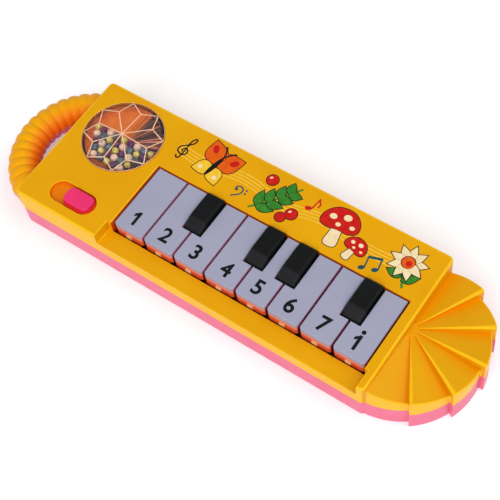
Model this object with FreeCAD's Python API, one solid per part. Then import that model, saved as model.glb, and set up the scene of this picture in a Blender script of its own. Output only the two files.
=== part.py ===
import FreeCAD, Part
import math
import os

# Toy piano in a moulded case of two shells, with a ribbed handle at its left end, a row of keys
# and a pleated fan at its right end.
# Lengths are millimetres and angles are degrees.
# X runs along the keys from handle to fan, Y from front to back, Z up from the base.
# The origin is the middle of the base.

# Case shells
right_border = 4.5
strip_depth = 8.2
headroom = 5.5
parting_height = 9.0
strip_drop = 5.0
wall = 2.0
floor_thickness = 2.0
strip_thickness = 2.0
strip_left_lap = 2.0
strip_right_lap = 1.6
corner_radius = 2.0
edge_radius = 0.8
overrun = 5.0

# White keys
key_count = 8
key_pitch = 13.0
key_length = 27.6
key_gap = 0.8
key_front_gap = 0.9
key_back_gap = 0.45
key_drop = 0.4
key_cap_height = 6.0
key_wall = 1.4
key_corner_radius = 1.2
key_edge_radius = 0.4
key_arm_inset = 0.9
key_arm_height = 3.0
key_tab_width = 2.2
key_tab_height = 1.6
key_tab_reach = 0.4
key_lug_width = 4.0
key_lug_height = 1.4
key_lug_reach = 1.6
key_lug_clearance = 0.3
key_plunger_width = 2.4

# Key pivot
pivot_from_wall = 8.2
pivot_headroom = 0.4
rod_radius = 1.0
rod_clearance = 0.05
barrel_radius = 2.2
barrel_side_gap = 5.0
rod_support_thickness = 1.6
rod_support_gap = 0.4
rod_support_width = 6.0

# Black keys, all on one bar
white_count_before_blacks = (2, 4, 5, 7)
white_neck = 4.9
black_rise = 2.2
black_setback = 11.8
black_slope_run = 4.3
black_clearance = 0.5
black_back_gap = 0.6
black_edge_radius = 0.5
bar_depth = 7.0
bar_thickness = 2.1
bar_clearance = 2.2
bar_screw_inset = 4.2

# Contact board and pads
board_thickness = 1.6
board_standoff = 3.9
board_depth = 14.0
board_front_gap = 0.65
board_end_gap = 1.5
board_screw_inset = 2.2
pad_base_height = 0.8
pad_base_width = 5.4
pad_dome_height = 2.8
pad_dome_radius = 2.5
pad_dome_top_radius = 1.5
pad_from_key_front = 9.0
pad_clearance = 0.3
pad_end = 4.0
chip_radius = 4.0
chip_height = 1.4
chip_edge_radius = 1.0

# Handle
handle_side_inset = 5.45
handle_tube_radius = 6.2
handle_inset = 7.5
handle_bore_radius = 4.0
handle_rib_count = 14
handle_rib_angle = 9.32
handle_rib_depth = 0.9
handle_rib_round_share = 0.7
handle_rib_flank_share = 0.22

# Fan
fan_pleat_count = 6
fan_start_inset = 2.65
fan_end_inset = 0.95
fan_low_drop = 5.6
fan_high_drop = 1.8
fan_hub_drop = 3.9
fan_roof = 1.8
fan_boss_radius = 4.2
fan_boss_rise = 0.5

# Window, tray and beads
dome_shift = 0.15
dome_side_gap = 4.15
dome_back_gap = 2.85
dome_clearance = 0.1
dome_flange = 0.6
dome_flange_thickness = 1.2
dome_rim_rise = 0.25
dome_apex_rise = 2.0
dome_thickness = 1.3
dome_ray_count = 8
dome_junction_share = 0.73
tray_floor = 1.0
tray_wall = 1.0
bead_gap = 0.15
bead_fill_share = 0.2
bead_group_names = ("beads_yellow", "beads_purple", "beads_pale", "beads_blue")

# Power switch
switch_shift = 0.95
switch_from_front = 8.75
pocket_length = 19.4
pocket_width = 8.8
pocket_depth = 1.6
pocket_floor = 1.2
pocket_wall = 1.5
knob_length = 12.9
knob_clearance = 0.3
knob_base_height = 1.2
knob_grip_length = 11.0
knob_grip_width = 6.4
knob_grip_height = 1.7
knob_groove_count = 5
knob_groove_width = 0.8
knob_groove_depth = 0.5
knob_edge_radius = 0.4
stem_length = 4.0
stem_width = 3.0
stem_below_floor = 0.3
lever_length = 2.0
lever_width = 1.6
lever_socket_depth = 1.0
lever_clearance = 0.05
slide_body_length = 14.0
slide_body_width = 4.4
slide_body_clearance = 0.5
slide_recess_depth = 0.8

# Cells, bay and battery door
cell_diameter = 10.5
cell_length = 44.5
cell_nub_radius = 1.9
cell_nub_length = 1.0
cell_gap = 0.4
cell_lift = 0.3
bay_wall = 1.4
bay_end_gap = 0.6
bay_side_gap = 7.15
bay_roof = 1.3
bay_frame_width = 1.2
bay_frame_height = 3.4
contact_thickness = 0.4
contact_bulge = 2.1
contact_bulge_radius = 3.0
contact_bulge_top_radius = 1.6
contact_inset = 0.5
contact_foot_gap = 0.2
tail_width = 2.0
tail_rise = 1.0
tail_clearance = 0.1
door_thickness = 1.6
door_lap = 0.9
door_clearance = 0.2
door_ear_radius = 4.0
door_ear_offset = 3.4
door_tongue_length = 1.6
door_tongue_width = 5.0
door_tongue_thickness = 1.0
door_tongue_spread = 15.0
door_groove_count = 4
door_groove_length = 10.0
door_groove_width = 1.0
door_groove_depth = 0.5
door_groove_pitch = 2.4

# Speaker
speaker_lap = 6.2
speaker_rim_height = 1.2
speaker_rim_width = 1.6
speaker_basket_height = 6.0
speaker_basket_wall = 0.8
speaker_magnet_radius = 8.0
speaker_magnet_height = 3.5
speaker_cone_thickness = 0.4
speaker_cone_clearance = 0.2
speaker_cone_radius = 5.0
speaker_ring_gap = 0.2
speaker_ring_wall = 1.2
speaker_ring_height = 2.5
speaker_ring_bite = 0.5
speaker_wire_length = 3.7
speaker_tab_width = 6.0
speaker_tab_thickness = 1.2
speaker_tab_side = 5.5
grille_hole_radius = 1.0
grille_ring_pitch = 3.9
grille_ring_count = 2
grille_ring_step_count = 6

# Screws and their posts
post_radius = 2.4
post_bite = 0.4
post_angle = 62.0
screw_radius = 0.95
screw_fit_gap = 0.05
screw_pass_gap = 0.25
screw_head_radius = 1.8
screw_head_height = 1.2
screw_head_gap = 0.3
case_screw_seat = 3.0
case_screw_length = 8.0
small_screw_length = 4.5
door_screw_length = 5.0
door_boss_height = 6.5
recess_length = 2.2
recess_width = 0.6
recess_depth = 0.6

# Wires
wire_radius = 0.5
wire_bend = 1.6
wire_drop_gap = 1.4
wire_spacing = 2.2

# Sizes worked out from the sizes above
key_field = key_count * key_pitch
black_width = key_pitch - white_neck - 2 * black_clearance
key_arm_width = white_neck - key_arm_inset
barrel_length = key_pitch - barrel_side_gap
bay_half_width = cell_diameter + 1.5 * cell_gap
bay_half_length = cell_length / 2 + contact_bulge + contact_thickness
bay_ceiling = door_thickness + cell_lift + cell_diameter + cell_gap
bay_top = bay_ceiling + bay_roof
left_block_length = 2 * (bay_half_width + bay_wall + bay_side_gap)
case_height = bay_top + headroom
case_depth = 2 * (bay_half_length + bay_wall + bay_end_gap + wall)
strip_height = case_height - strip_drop
strip_under = strip_height - strip_thickness
plate_under = case_height - wall
handle_arc_radius = case_depth / 2 - handle_side_inset
handle_reach = handle_arc_radius + handle_tube_radius - handle_inset
fan_radius_start = case_depth / 2 - fan_start_inset
fan_radius_end = case_depth / 2 - fan_end_inset
fan_rim_low = case_height - fan_low_drop
fan_rim_high = case_height - fan_high_drop
fan_hub_height = case_height - fan_hub_drop
fan_roof_under = fan_rim_low - fan_roof
dome_radius = left_block_length / 2 - dome_side_gap
speaker_ring_outer = (fan_radius_start - wall + speaker_ring_bite + speaker_lap) / 2
speaker_radius = speaker_ring_outer - speaker_ring_wall - speaker_ring_gap
knob_travel = pocket_length - knob_length - 2 * knob_clearance
screw_pass_radius = screw_radius + screw_pass_gap
screw_fit_radius = screw_radius + screw_fit_gap
overall_length = handle_reach + left_block_length + key_field + right_border + fan_radius_end

# Places worked out from the sizes above
left_x = handle_reach - overall_length / 2
key_left = left_x + left_block_length
key_right = key_left + key_field
right_x = key_right + right_border
front_y = -case_depth / 2
back_y = case_depth / 2
key_front = front_y + strip_depth
panel_edge = key_front + key_length
opening_front = key_front - key_front_gap
strip_left = key_left - strip_left_lap
strip_right = key_right + strip_right_lap
clear_above = case_height + overrun
key_top = case_height - key_drop
skirt_bottom = key_top - key_cap_height
pivot_y = back_y - wall - pivot_from_wall
pivot_z = plate_under - pivot_headroom - barrel_radius
board_under = floor_thickness + board_standoff
board_top = board_under + board_thickness
board_mid = (board_under + board_top) / 2
board_left = key_left + board_end_gap
board_right = key_right - board_end_gap
board_front = key_front + key_wall + board_front_gap
board_back = board_front + board_depth
pad_y = key_front + pad_from_key_front
pad_top = board_top + pad_base_height + pad_dome_height
bar_top = skirt_bottom - bar_clearance
bar_under = bar_top - bar_thickness
black_front = key_front + black_setback
black_back = panel_edge - black_back_gap
black_top = key_top + black_rise
bay_x = left_x + left_block_length / 2
cell_z = door_thickness + cell_lift + cell_diameter / 2
dome_x = bay_x + dome_shift
dome_y = back_y - dome_back_gap - dome_radius
switch_x = bay_x + switch_shift
switch_y = front_y + switch_from_front
pocket_bottom = case_height - pocket_depth
pocket_under = pocket_bottom - pocket_floor
knob_x = switch_x + (pocket_length - knob_length) / 2 - knob_clearance
speaker_x = right_x + fan_radius_start - wall - speaker_ring_outer + speaker_ring_bite
speaker_tab_left = board_right + speaker_wire_length

X_AXIS = FreeCAD.Vector(1, 0, 0)
Y_AXIS = FreeCAD.Vector(0, 1, 0)
Z_AXIS = FreeCAD.Vector(0, 0, 1)


def vec(x, y, z):
    return FreeCAD.Vector(x, y, z)


def box(x0, x1, y0, y1, z0, z1):
    """Box between two corners."""
    return Part.makeBox(x1 - x0, y1 - y0, z1 - z0, vec(x0, y0, z0))


def block(x, y, length, width, z0, z1):
    """Box centred in plan on x, y."""
    return box(x - length / 2, x + length / 2, y - width / 2, y + width / 2, z0, z1)


def cylinder(x, y, z0, z1, radius):
    """Upright cylinder from z0 to z1."""
    return Part.makeCylinder(radius, z1 - z0, vec(x, y, z0))


def side_prism(points, x0, x1):
    """Prism along X on a closed outline of y, z points."""
    corners = [vec(x0, y, z) for y, z in points]
    face = Part.Face(Part.makePolygon(corners + corners[:1]))
    return face.extrude(vec(x1 - x0, 0, 0))


def turned(points, x, y):
    """Solid of revolution about an upright axis, from a closed outline of radius, z points."""
    corners = [vec(x + radius, y, z) for radius, z in points]
    face = Part.Face(Part.makePolygon(corners + corners[:1]))
    return face.revolve(vec(x, y, 0), Z_AXIS, 360)


def obround(x, y, length, width, z0, z1):
    """Upright prism with round ends, lengthwise along X."""
    half = (length - width) / 2
    radius = width / 2
    front = [vec(x - half, y - radius, z0), vec(x + half, y - radius, z0)]
    back = [vec(x + half, y + radius, z0), vec(x - half, y + radius, z0)]
    edges = [
        Part.LineSegment(front[0], front[1]).toShape(),
        Part.Arc(front[1], vec(x + half + radius, y, z0), back[0]).toShape(),
        Part.LineSegment(back[0], back[1]).toShape(),
        Part.Arc(back[1], vec(x - half - radius, y, z0), front[0]).toShape(),
    ]
    return Part.Face(Part.Wire(edges)).extrude(vec(0, 0, z1 - z0))


def rounded_tube(points, bend, radius):
    """Round wire along straight runs joined by tangent arcs."""
    edges = []
    start = points[0]
    for before, corner, after in zip(points, points[1:], points[2:]):
        way_in = (corner - before).normalize()
        way_out = (after - corner).normalize()
        turn = way_in.getAngle(way_out)
        trim = bend * math.tan(turn / 2)
        arc_start = corner - way_in * trim
        arc_end = corner + way_out * trim
        inward = (way_out - way_in).normalize()
        arc_middle = corner + inward * (bend / math.cos(turn / 2) - bend)
        edges.append(Part.LineSegment(start, arc_start).toShape())
        edges.append(Part.Arc(arc_start, arc_middle, arc_end).toShape())
        start = arc_end
    edges.append(Part.LineSegment(start, points[-1]).toShape())
    profile = Part.Wire([Part.Circle(points[0], points[1] - points[0], radius).toShape()])
    return Part.Wire(edges).makePipeShell([profile], True, True)


def edges_where(shape, test):
    """Edges whose middle point and direction satisfy the test."""
    chosen = []
    for edge in shape.Edges:
        middle = edge.valueAt((edge.FirstParameter + edge.LastParameter) / 2)
        along = edge.tangentAt((edge.FirstParameter + edge.LastParameter) / 2)
        if test(middle, along):
            chosen.append(edge)
    return chosen


def edges_at_height(shape, z):
    return edges_where(shape, lambda p, along: near(p.z, z))


def is_upright(along):
    return abs(along.z) > math.cos(math.radians(1))


def near(a, b):
    return math.isclose(a, b, abs_tol=Part.Precision.confusion())


def polar(x, y, radius, angle):
    """Plan point at a radius and an angle about x, y."""
    return (x + radius * math.cos(math.radians(angle)), y + radius * math.sin(math.radians(angle)))


def key_centre(index):
    return key_left + (index + 0.5) * key_pitch


def pivot_cylinder(x0, x1, radius):
    """Cylinder along the axis that the keys turn on."""
    return Part.makeCylinder(radius, x1 - x0, vec(x0, pivot_y, pivot_z), X_AXIS)


def rounded_slab(z0, z1, rim_z):
    """Case rectangle with rounded corners, and its outer edge at rim_z rounded too."""
    slab = box(left_x, right_x, front_y, back_y, z0, z1)
    slab = slab.makeFillet(corner_radius, edges_where(slab, lambda p, along: is_upright(along)))
    return slab.makeFillet(edge_radius, edges_at_height(slab, rim_z))


def fan_sector(index, z0, z1):
    """One pleat in plan: its rim swings out from the start radius to the end radius."""
    step = 180 / fan_pleat_count
    start_angle = 90 - index * step
    x0, y0 = polar(right_x, 0, fan_radius_start, start_angle)
    xm, ym = polar(right_x, 0, (fan_radius_start + fan_radius_end) / 2, start_angle - step / 2)
    x1, y1 = polar(right_x, 0, fan_radius_end, start_angle - step)
    hub = vec(right_x, 0, z0)
    start = vec(x0, y0, z0)
    end = vec(x1, y1, z0)
    edges = [
        Part.LineSegment(hub, start).toShape(),
        Part.Arc(start, vec(xm, ym, z0), end).toShape(),
        Part.LineSegment(end, hub).toShape(),
    ]
    sector = Part.Face(Part.Wire(edges)).extrude(vec(0, 0, z1 - z0))
    top_hub = vec(right_x, 0, fan_hub_height)
    top_start = vec(x0, y0, fan_rim_low)
    top_end = vec(x1, y1, fan_rim_high)
    return sector, (top_hub, top_start, top_end)


def fan_pleat(index):
    """Pleat of the upper shell: its top is the plane through the hub and the two ends of its rim."""
    sector, corners = fan_sector(index, parting_height, fan_rim_high + overrun)
    middle = (corners[0] + corners[1] + corners[2]) / 3
    spread_share = 3
    wide = [middle + (corner - middle) * spread_share for corner in corners]
    above = Part.Face(Part.makePolygon(wide + wide[:1])).extrude(vec(0, 0, fan_rim_high + overrun))
    return sector.cut(above)


def fan_cavity(z0, z1):
    """Half-round hollow of the fan, one wall inside the smallest rim."""
    disc = cylinder(right_x, 0, z0, z1, fan_radius_start - wall)
    half = box(right_x, right_x + fan_radius_start, -fan_radius_start, fan_radius_start, z0, z1)
    return disc.common(half)


def fan_boss():
    """Low half-round step at the hub of the fan."""
    radius = fan_boss_radius
    boss = cylinder(right_x, 0, parting_height, fan_hub_height + fan_boss_rise, radius)
    return boss.common(box(right_x, right_x + radius, -radius, radius, 0, case_height))


def handle_circle(angle, radius):
    """Section of the handle tube at an angle from the -X direction."""
    x, y = polar(left_x + handle_inset, 0, handle_arc_radius, 180 - angle)
    along = vec(math.sin(math.radians(angle)), math.cos(math.radians(angle)), 0)
    circle = Part.Circle(vec(x, y, parting_height), along, radius)
    circle.XAxis = Z_AXIS
    return Part.Wire([circle.toShape()])


def handle_ring():
    """Ribbed half ring with a bore, reaching into the middle of the case's end wall."""
    groove = handle_tube_radius - handle_rib_depth
    flank = groove + handle_rib_depth * handle_rib_round_share
    first = -handle_rib_count * handle_rib_angle / 2
    last = -first
    root = math.degrees(math.acos((handle_inset - wall) / (handle_arc_radius + handle_tube_radius)))
    sections = [handle_circle(-root, groove)]
    for rib in range(handle_rib_count):
        start = first + rib * handle_rib_angle
        sections.append(handle_circle(start, groove))
        sections.append(handle_circle(start + handle_rib_angle * handle_rib_flank_share, flank))
        sections.append(handle_circle(start + handle_rib_angle / 2, handle_tube_radius))
        sections.append(handle_circle(start + handle_rib_angle * (1 - handle_rib_flank_share), flank))
    sections.append(handle_circle(last, groove))
    sections.append(handle_circle(root, groove))
    ring = Part.makeLoft(sections, True, True)
    arc_centre = vec(left_x + handle_inset, 0, parting_height)
    bore = Part.makeTorus(handle_arc_radius, handle_bore_radius, arc_centre)
    reach = handle_arc_radius + handle_tube_radius + overrun
    outside = box(left_x - reach, left_x, -reach, reach, 0, case_height)
    kept = box(left_x - reach, left_x + wall / 2, -reach, reach, 0, case_height)
    return ring.common(kept).cut(bore.common(outside))


def half_handle(z0, z1):
    reach = handle_arc_radius + handle_tube_radius + overrun
    return handle_ring().common(box(left_x - reach, left_x + wall, -reach, reach, z0, z1))


def case_posts():
    """Plan places of the screws that join the shells, each with the underside its upper boss hangs from."""
    side_y = case_depth / 2 - wall - post_radius + post_bite
    left_post_x = (left_x + wall + bay_x - bay_half_width - bay_wall) / 2
    middle_x = key_left + key_field / 2
    fan_radius = fan_radius_start - wall - post_radius + post_bite
    fan_posts = [polar(right_x, 0, fan_radius, sign * post_angle) for sign in (1, -1)]
    return [
        (left_post_x, side_y, plate_under),
        (left_post_x, -side_y, plate_under),
        (middle_x, side_y, plate_under),
        (middle_x, -side_y, strip_under),
        (fan_posts[0][0], fan_posts[0][1], fan_roof_under),
        (fan_posts[1][0], fan_posts[1][1], fan_roof_under),
    ]


def top_cover():
    """Upper shell: top plate, back panel, front strip, pleated fan and upper half of the handle."""
    shell = rounded_slab(parting_height, case_height, case_height)
    step = box(strip_left, strip_right, front_y - overrun, opening_front, strip_height, clear_above)
    shell = shell.cut(step)
    inner_left = left_x + wall
    inner_right = right_x - wall
    inner_back = back_y - wall
    below = parting_height - overrun
    low = box(inner_left, inner_right, front_y + wall, inner_back, below, strip_under)
    left_end = box(inner_left, strip_left - wall, front_y + wall, inner_back, below, plate_under)
    middle = box(inner_left, inner_right, opening_front, inner_back, below, plate_under)
    side_gap = key_gap / 2
    opening = box(key_left - side_gap, key_right + side_gap, opening_front, panel_edge, below, clear_above)
    shell = shell.cut(low).cut(left_end).cut(middle).cut(opening)
    for index in range(fan_pleat_count):
        shell = shell.fuse(fan_pleat(index))
    shell = shell.fuse(fan_boss()).cut(fan_cavity(below, fan_roof_under))
    shell = shell.fuse(half_handle(parting_height, case_height))
    rim_length = pocket_length + 2 * pocket_wall
    rim_width = pocket_width + 2 * pocket_wall
    thick = obround(switch_x, switch_y, rim_length, rim_width, pocket_under, case_height)
    shell = shell.fuse(thick.common(box(left_x + wall, key_left, front_y + wall, back_y, 0, plate_under)))
    shell = shell.cut(obround(switch_x, switch_y, pocket_length, pocket_width, pocket_bottom, clear_above))
    slot_length = stem_length + knob_travel + 2 * knob_clearance
    slot_width = stem_width + 2 * knob_clearance
    shell = shell.cut(block(
        knob_x - knob_travel / 2, switch_y, slot_length, slot_width, pocket_under - overrun, case_height))
    shell = shell.cut(cylinder(dome_x, dome_y, parting_height, clear_above, dome_radius + dome_clearance))
    screw_top = case_screw_seat + case_screw_length + screw_pass_gap
    for x, y, under in case_posts():
        shell = shell.fuse(cylinder(x, y, parting_height, under, post_radius))
    for x, y, under in case_posts():
        shell = shell.cut(cylinder(x, y, below, screw_top, screw_fit_radius))
    return shell.removeSplitter()


def bay_outline(grow, z0, z1):
    """Box round the cells, grown on each side."""
    return box(
        bay_x - bay_half_width - grow, bay_x + bay_half_width + grow,
        -bay_half_length - grow, bay_half_length + grow, z0, z1)


def door_ear(radius, z0, z1):
    """Round ear of the battery door, on the side towards the keys."""
    return cylinder(bay_x + bay_half_width + door_ear_offset, 0, z0, z1, radius)


def door_tongue(sign, grow):
    """Tongue on the handle side of the battery door, which goes under the rim of its bay."""
    side = bay_x - bay_half_width
    middle = sign * door_tongue_spread / 2
    return box(
        side - door_tongue_length - grow, side + door_tongue_length,
        middle - door_tongue_width / 2 - grow, middle + door_tongue_width / 2 + grow,
        door_thickness - grow, door_thickness + door_tongue_thickness + grow)


def contact_tails():
    """Plan places of the two tails that pass through the roof of the bay."""
    y = -bay_half_length + contact_thickness / 2
    offset = (cell_diameter + cell_gap) / 2
    return [(bay_x - offset, y), (bay_x + offset, y)]


def bottom_cover():
    """Lower shell: floor, walls, cell bay, posts, speaker ring and lower half of the handle."""
    shell = rounded_slab(0, parting_height, 0)
    for index in range(fan_pleat_count):
        shell = shell.fuse(fan_sector(index, 0, parting_height)[0])
    above = parting_height + overrun
    inner = box(left_x + wall, right_x - wall, front_y + wall, back_y - wall, floor_thickness, above)
    passage = block(right_x, 0, 2 * wall + overrun, 2 * speaker_ring_outer, floor_thickness, above)
    shell = shell.cut(inner).cut(fan_cavity(floor_thickness, above)).cut(passage)
    shell = shell.fuse(half_handle(0, parting_height))
    ring = cylinder(speaker_x, 0, 0, floor_thickness + speaker_ring_height, speaker_ring_outer)
    ring = ring.cut(cylinder(speaker_x, 0, floor_thickness, case_height, speaker_radius + speaker_ring_gap))
    shell = shell.fuse(ring)
    shell = shell.fuse(bay_outline(bay_wall, 0, bay_top))
    shell = shell.fuse(bay_outline(bay_wall + bay_frame_width, 0, bay_frame_height).common(
        box(left_x, right_x, front_y, back_y, 0, case_height)))
    shell = shell.fuse(door_ear(door_ear_radius + bay_frame_width, 0, bay_frame_height))
    shell = shell.fuse(door_ear(post_radius, 0, door_boss_height))
    for x, y, under in case_posts():
        shell = shell.fuse(cylinder(x, y, 0, parting_height, post_radius))
    for x, y in board_screw_places():
        shell = shell.fuse(cylinder(x, y, 0, board_under, post_radius))
    for x, y in bar_screw_places():
        shell = shell.fuse(cylinder(x, y, 0, bar_under, post_radius))
    for x0, x1 in rod_supports():
        half = rod_support_width / 2
        shell = shell.fuse(box(x0, x1, pivot_y - half, pivot_y + half, 0, pivot_z + barrel_radius))
    shell = shell.cut(pivot_cylinder(key_left - overrun, right_x - wall, rod_radius + rod_clearance))
    shell = shell.cut(bay_outline(0, -overrun, bay_ceiling))
    shell = shell.cut(bay_outline(door_lap, -overrun, door_thickness))
    shell = shell.cut(door_ear(door_ear_radius, -overrun, door_thickness))
    for sign in (1, -1):
        shell = shell.cut(door_tongue(sign, door_clearance))
    for x, y in contact_tails():
        slot_length = tail_width + 2 * tail_clearance
        slot_width = contact_thickness + 2 * tail_clearance
        shell = shell.cut(block(x, y, slot_length, slot_width, bay_ceiling - overrun, clear_above))
    shell = shell.cut(door_ear(screw_fit_radius, 0, door_screw_seat() + door_screw_length + screw_pass_gap))
    for x, y, under in case_posts():
        shell = shell.cut(cylinder(x, y, -overrun, case_screw_seat, screw_head_radius + screw_head_gap))
        shell = shell.cut(cylinder(x, y, -overrun, above, screw_pass_radius))
    hole_depth = small_screw_length + screw_pass_gap
    for x, y in board_screw_places():
        shell = shell.cut(cylinder(x, y, board_top - hole_depth, case_height, screw_fit_radius))
    for x, y in bar_screw_places():
        shell = shell.cut(cylinder(x, y, bar_top - hole_depth, case_height, screw_fit_radius))
    for x, y in grille_places():
        shell = shell.cut(cylinder(x, y, -overrun, floor_thickness + overrun, grille_hole_radius))
    return shell.removeSplitter()


def grille_places():
    """Speaker holes: one in the middle and rings of holes round it."""
    places = [(speaker_x, 0)]
    for ring in range(1, grille_ring_count + 1):
        count = ring * grille_ring_step_count
        for hole in range(count):
            places.append(polar(speaker_x, 0, ring * grille_ring_pitch, hole * 360 / count))
    return places


def rod_supports():
    """X spans of the three uprights that carry the pivot rod."""
    middle = key_left + key_field / 2
    return [
        (key_left - rod_support_gap - rod_support_thickness, key_left - rod_support_gap),
        (middle - rod_support_thickness / 2, middle + rod_support_thickness / 2),
        (key_right + rod_support_gap, key_right + rod_support_gap + rod_support_thickness),
    ]


def key_pivot_rod():
    spans = rod_supports()
    return pivot_cylinder(spans[0][0], spans[-1][1], rod_radius)


def black_notch(index, grow):
    """Room for the black key at the left of a white key, if one stands at that boundary."""
    if index not in white_count_before_blacks:
        return None
    half = black_width / 2 + black_clearance + grow
    x = key_left + index * key_pitch
    return box(x - half, x + half, black_front - black_clearance - grow, panel_edge + overrun, 0, clear_above)


def white_key(index):
    """Hollow key cap: a stop lug under the strip, a plunger over its pad and an arm back to the pivot."""
    centre = key_centre(index)
    half = (key_pitch - key_gap) / 2
    back = panel_edge - key_back_gap
    cap = box(centre - half, centre + half, key_front, back, skirt_bottom, key_top)
    front_corners = edges_where(cap, lambda p, along: is_upright(along) and near(p.y, key_front))
    cap = cap.makeFillet(key_corner_radius, front_corners)
    hollow = box(
        centre - half + key_wall, centre + half - key_wall, key_front + key_wall, back - key_wall,
        skirt_bottom - overrun, key_top - key_wall)
    for boundary in (index, index + 1):
        notch = black_notch(boundary, 0)
        if notch:
            cap = cap.cut(notch)
            hollow = hollow.cut(black_notch(boundary, key_wall))
    cap = cap.makeFillet(key_edge_radius, edges_at_height(cap, key_top))
    cap = cap.cut(hollow)
    arm_half = key_arm_width / 2
    arm_low = pivot_z - key_arm_height / 2
    arm_top = pivot_z + key_arm_height / 2
    cap = cap.fuse(box(centre - arm_half, centre + arm_half, back - key_wall, pivot_y, arm_low, arm_top))
    barrel_left = centre - barrel_length / 2
    barrel_right = centre + barrel_length / 2
    cap = cap.fuse(pivot_cylinder(barrel_left, barrel_right, barrel_radius))
    lug_left = centre - key_lug_width / 2
    lug_right = centre + key_lug_width / 2
    lug_top = strip_under - key_lug_clearance
    lug_low = lug_top - key_lug_height
    wall_back = key_front + key_wall
    leg = box(lug_left, lug_right, key_front, wall_back, lug_low, key_top - key_wall)
    lug = box(lug_left, lug_right, opening_front - key_lug_reach, wall_back, lug_low, lug_top)
    tab_half = key_tab_width / 2
    tab = box(
        centre - tab_half, centre + tab_half, key_front - key_tab_reach, wall_back,
        strip_height - key_tab_height / 2, strip_height + key_tab_height / 2)
    plunger = block(
        centre, pad_y, key_plunger_width, key_plunger_width, pad_top + pad_clearance, key_top - key_wall / 2)
    cap = cap.fuse(leg).fuse(lug).fuse(tab).fuse(plunger)
    bore = pivot_cylinder(barrel_left - overrun, barrel_right + overrun, rod_radius + rod_clearance)
    return cap.cut(bore).removeSplitter()


def bar_screw_places():
    y = black_back - bar_depth / 2
    return [(key_left + bar_screw_inset, y), (key_right - bar_screw_inset, y)]


def black_key_bar():
    """Fixed black keys standing on one bar below the white keys."""
    bar_left = key_left + bar_screw_inset - post_radius
    bar_right = key_right - bar_screw_inset + post_radius
    bar = box(bar_left, bar_right, black_back - bar_depth, black_back, bar_under, bar_top)
    outline = [
        (black_front, bar_under),
        (black_front, key_top),
        (black_front + black_slope_run, black_top),
        (black_back, black_top),
        (black_back, bar_under),
    ]
    for boundary in white_count_before_blacks:
        x = key_left + boundary * key_pitch
        key = side_prism(outline, x - black_width / 2, x + black_width / 2)
        key = key.makeFillet(black_edge_radius, edges_where(
            key, lambda p, along: p.z > key_top and not near(p.y, black_back)))
        bar = bar.fuse(key)
    for x, y in bar_screw_places():
        bar = bar.cut(cylinder(x, y, 0, case_height, screw_pass_radius))
    return bar.removeSplitter()


def board_screw_places():
    return [
        (x, y)
        for x in (board_left + board_screw_inset, board_right - board_screw_inset)
        for y in (board_front + board_screw_inset, board_back - board_screw_inset)
    ]


def main_board():
    board = box(board_left, board_right, board_front, board_back, board_under, board_top)
    for x, y in board_screw_places():
        board = board.cut(cylinder(x, y, 0, case_height, screw_pass_radius))
    return board


def contact_pad_strip():
    """Rubber strip on the board with a dome under the plunger of each key."""
    base_top = board_top + pad_base_height
    base_length = key_field - key_pitch + 2 * pad_end
    strip = block(key_left + key_field / 2, pad_y, base_length, pad_base_width, board_top, base_top)
    for index in range(key_count):
        foot = vec(key_centre(index), pad_y, base_top)
        strip = strip.fuse(Part.makeCone(pad_dome_radius, pad_dome_top_radius, pad_dome_height, foot))
    return strip.removeSplitter()


def sound_chip():
    """Blob of resin over the sound chip, on the underside of the board."""
    x = key_left + key_field / 2
    blob = cylinder(x, pad_y, board_under - chip_height, board_under, chip_radius)
    return blob.makeFillet(chip_edge_radius, edges_at_height(blob, board_under - chip_height))


def screw(x, y, seat, length, up):
    """Pan-head screw: the shank leaves its seat upwards or downwards."""
    head_far = -screw_head_height if up else screw_head_height
    shank_end = length if up else -length
    head_edge_z = seat + head_far
    head = cylinder(x, y, min(seat, head_edge_z), max(seat, head_edge_z), screw_head_radius)
    shank = cylinder(x, y, min(seat, seat + shank_end), max(seat, seat + shank_end), screw_radius)
    body = head.fuse(shank)
    recess_low = head_edge_z - recess_depth
    recess_high = head_edge_z + recess_depth
    for length_x, length_y in ((recess_length, recess_width), (recess_width, recess_length)):
        body = body.cut(block(x, y, length_x, length_y, recess_low, recess_high))
    return body.removeSplitter()


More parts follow.
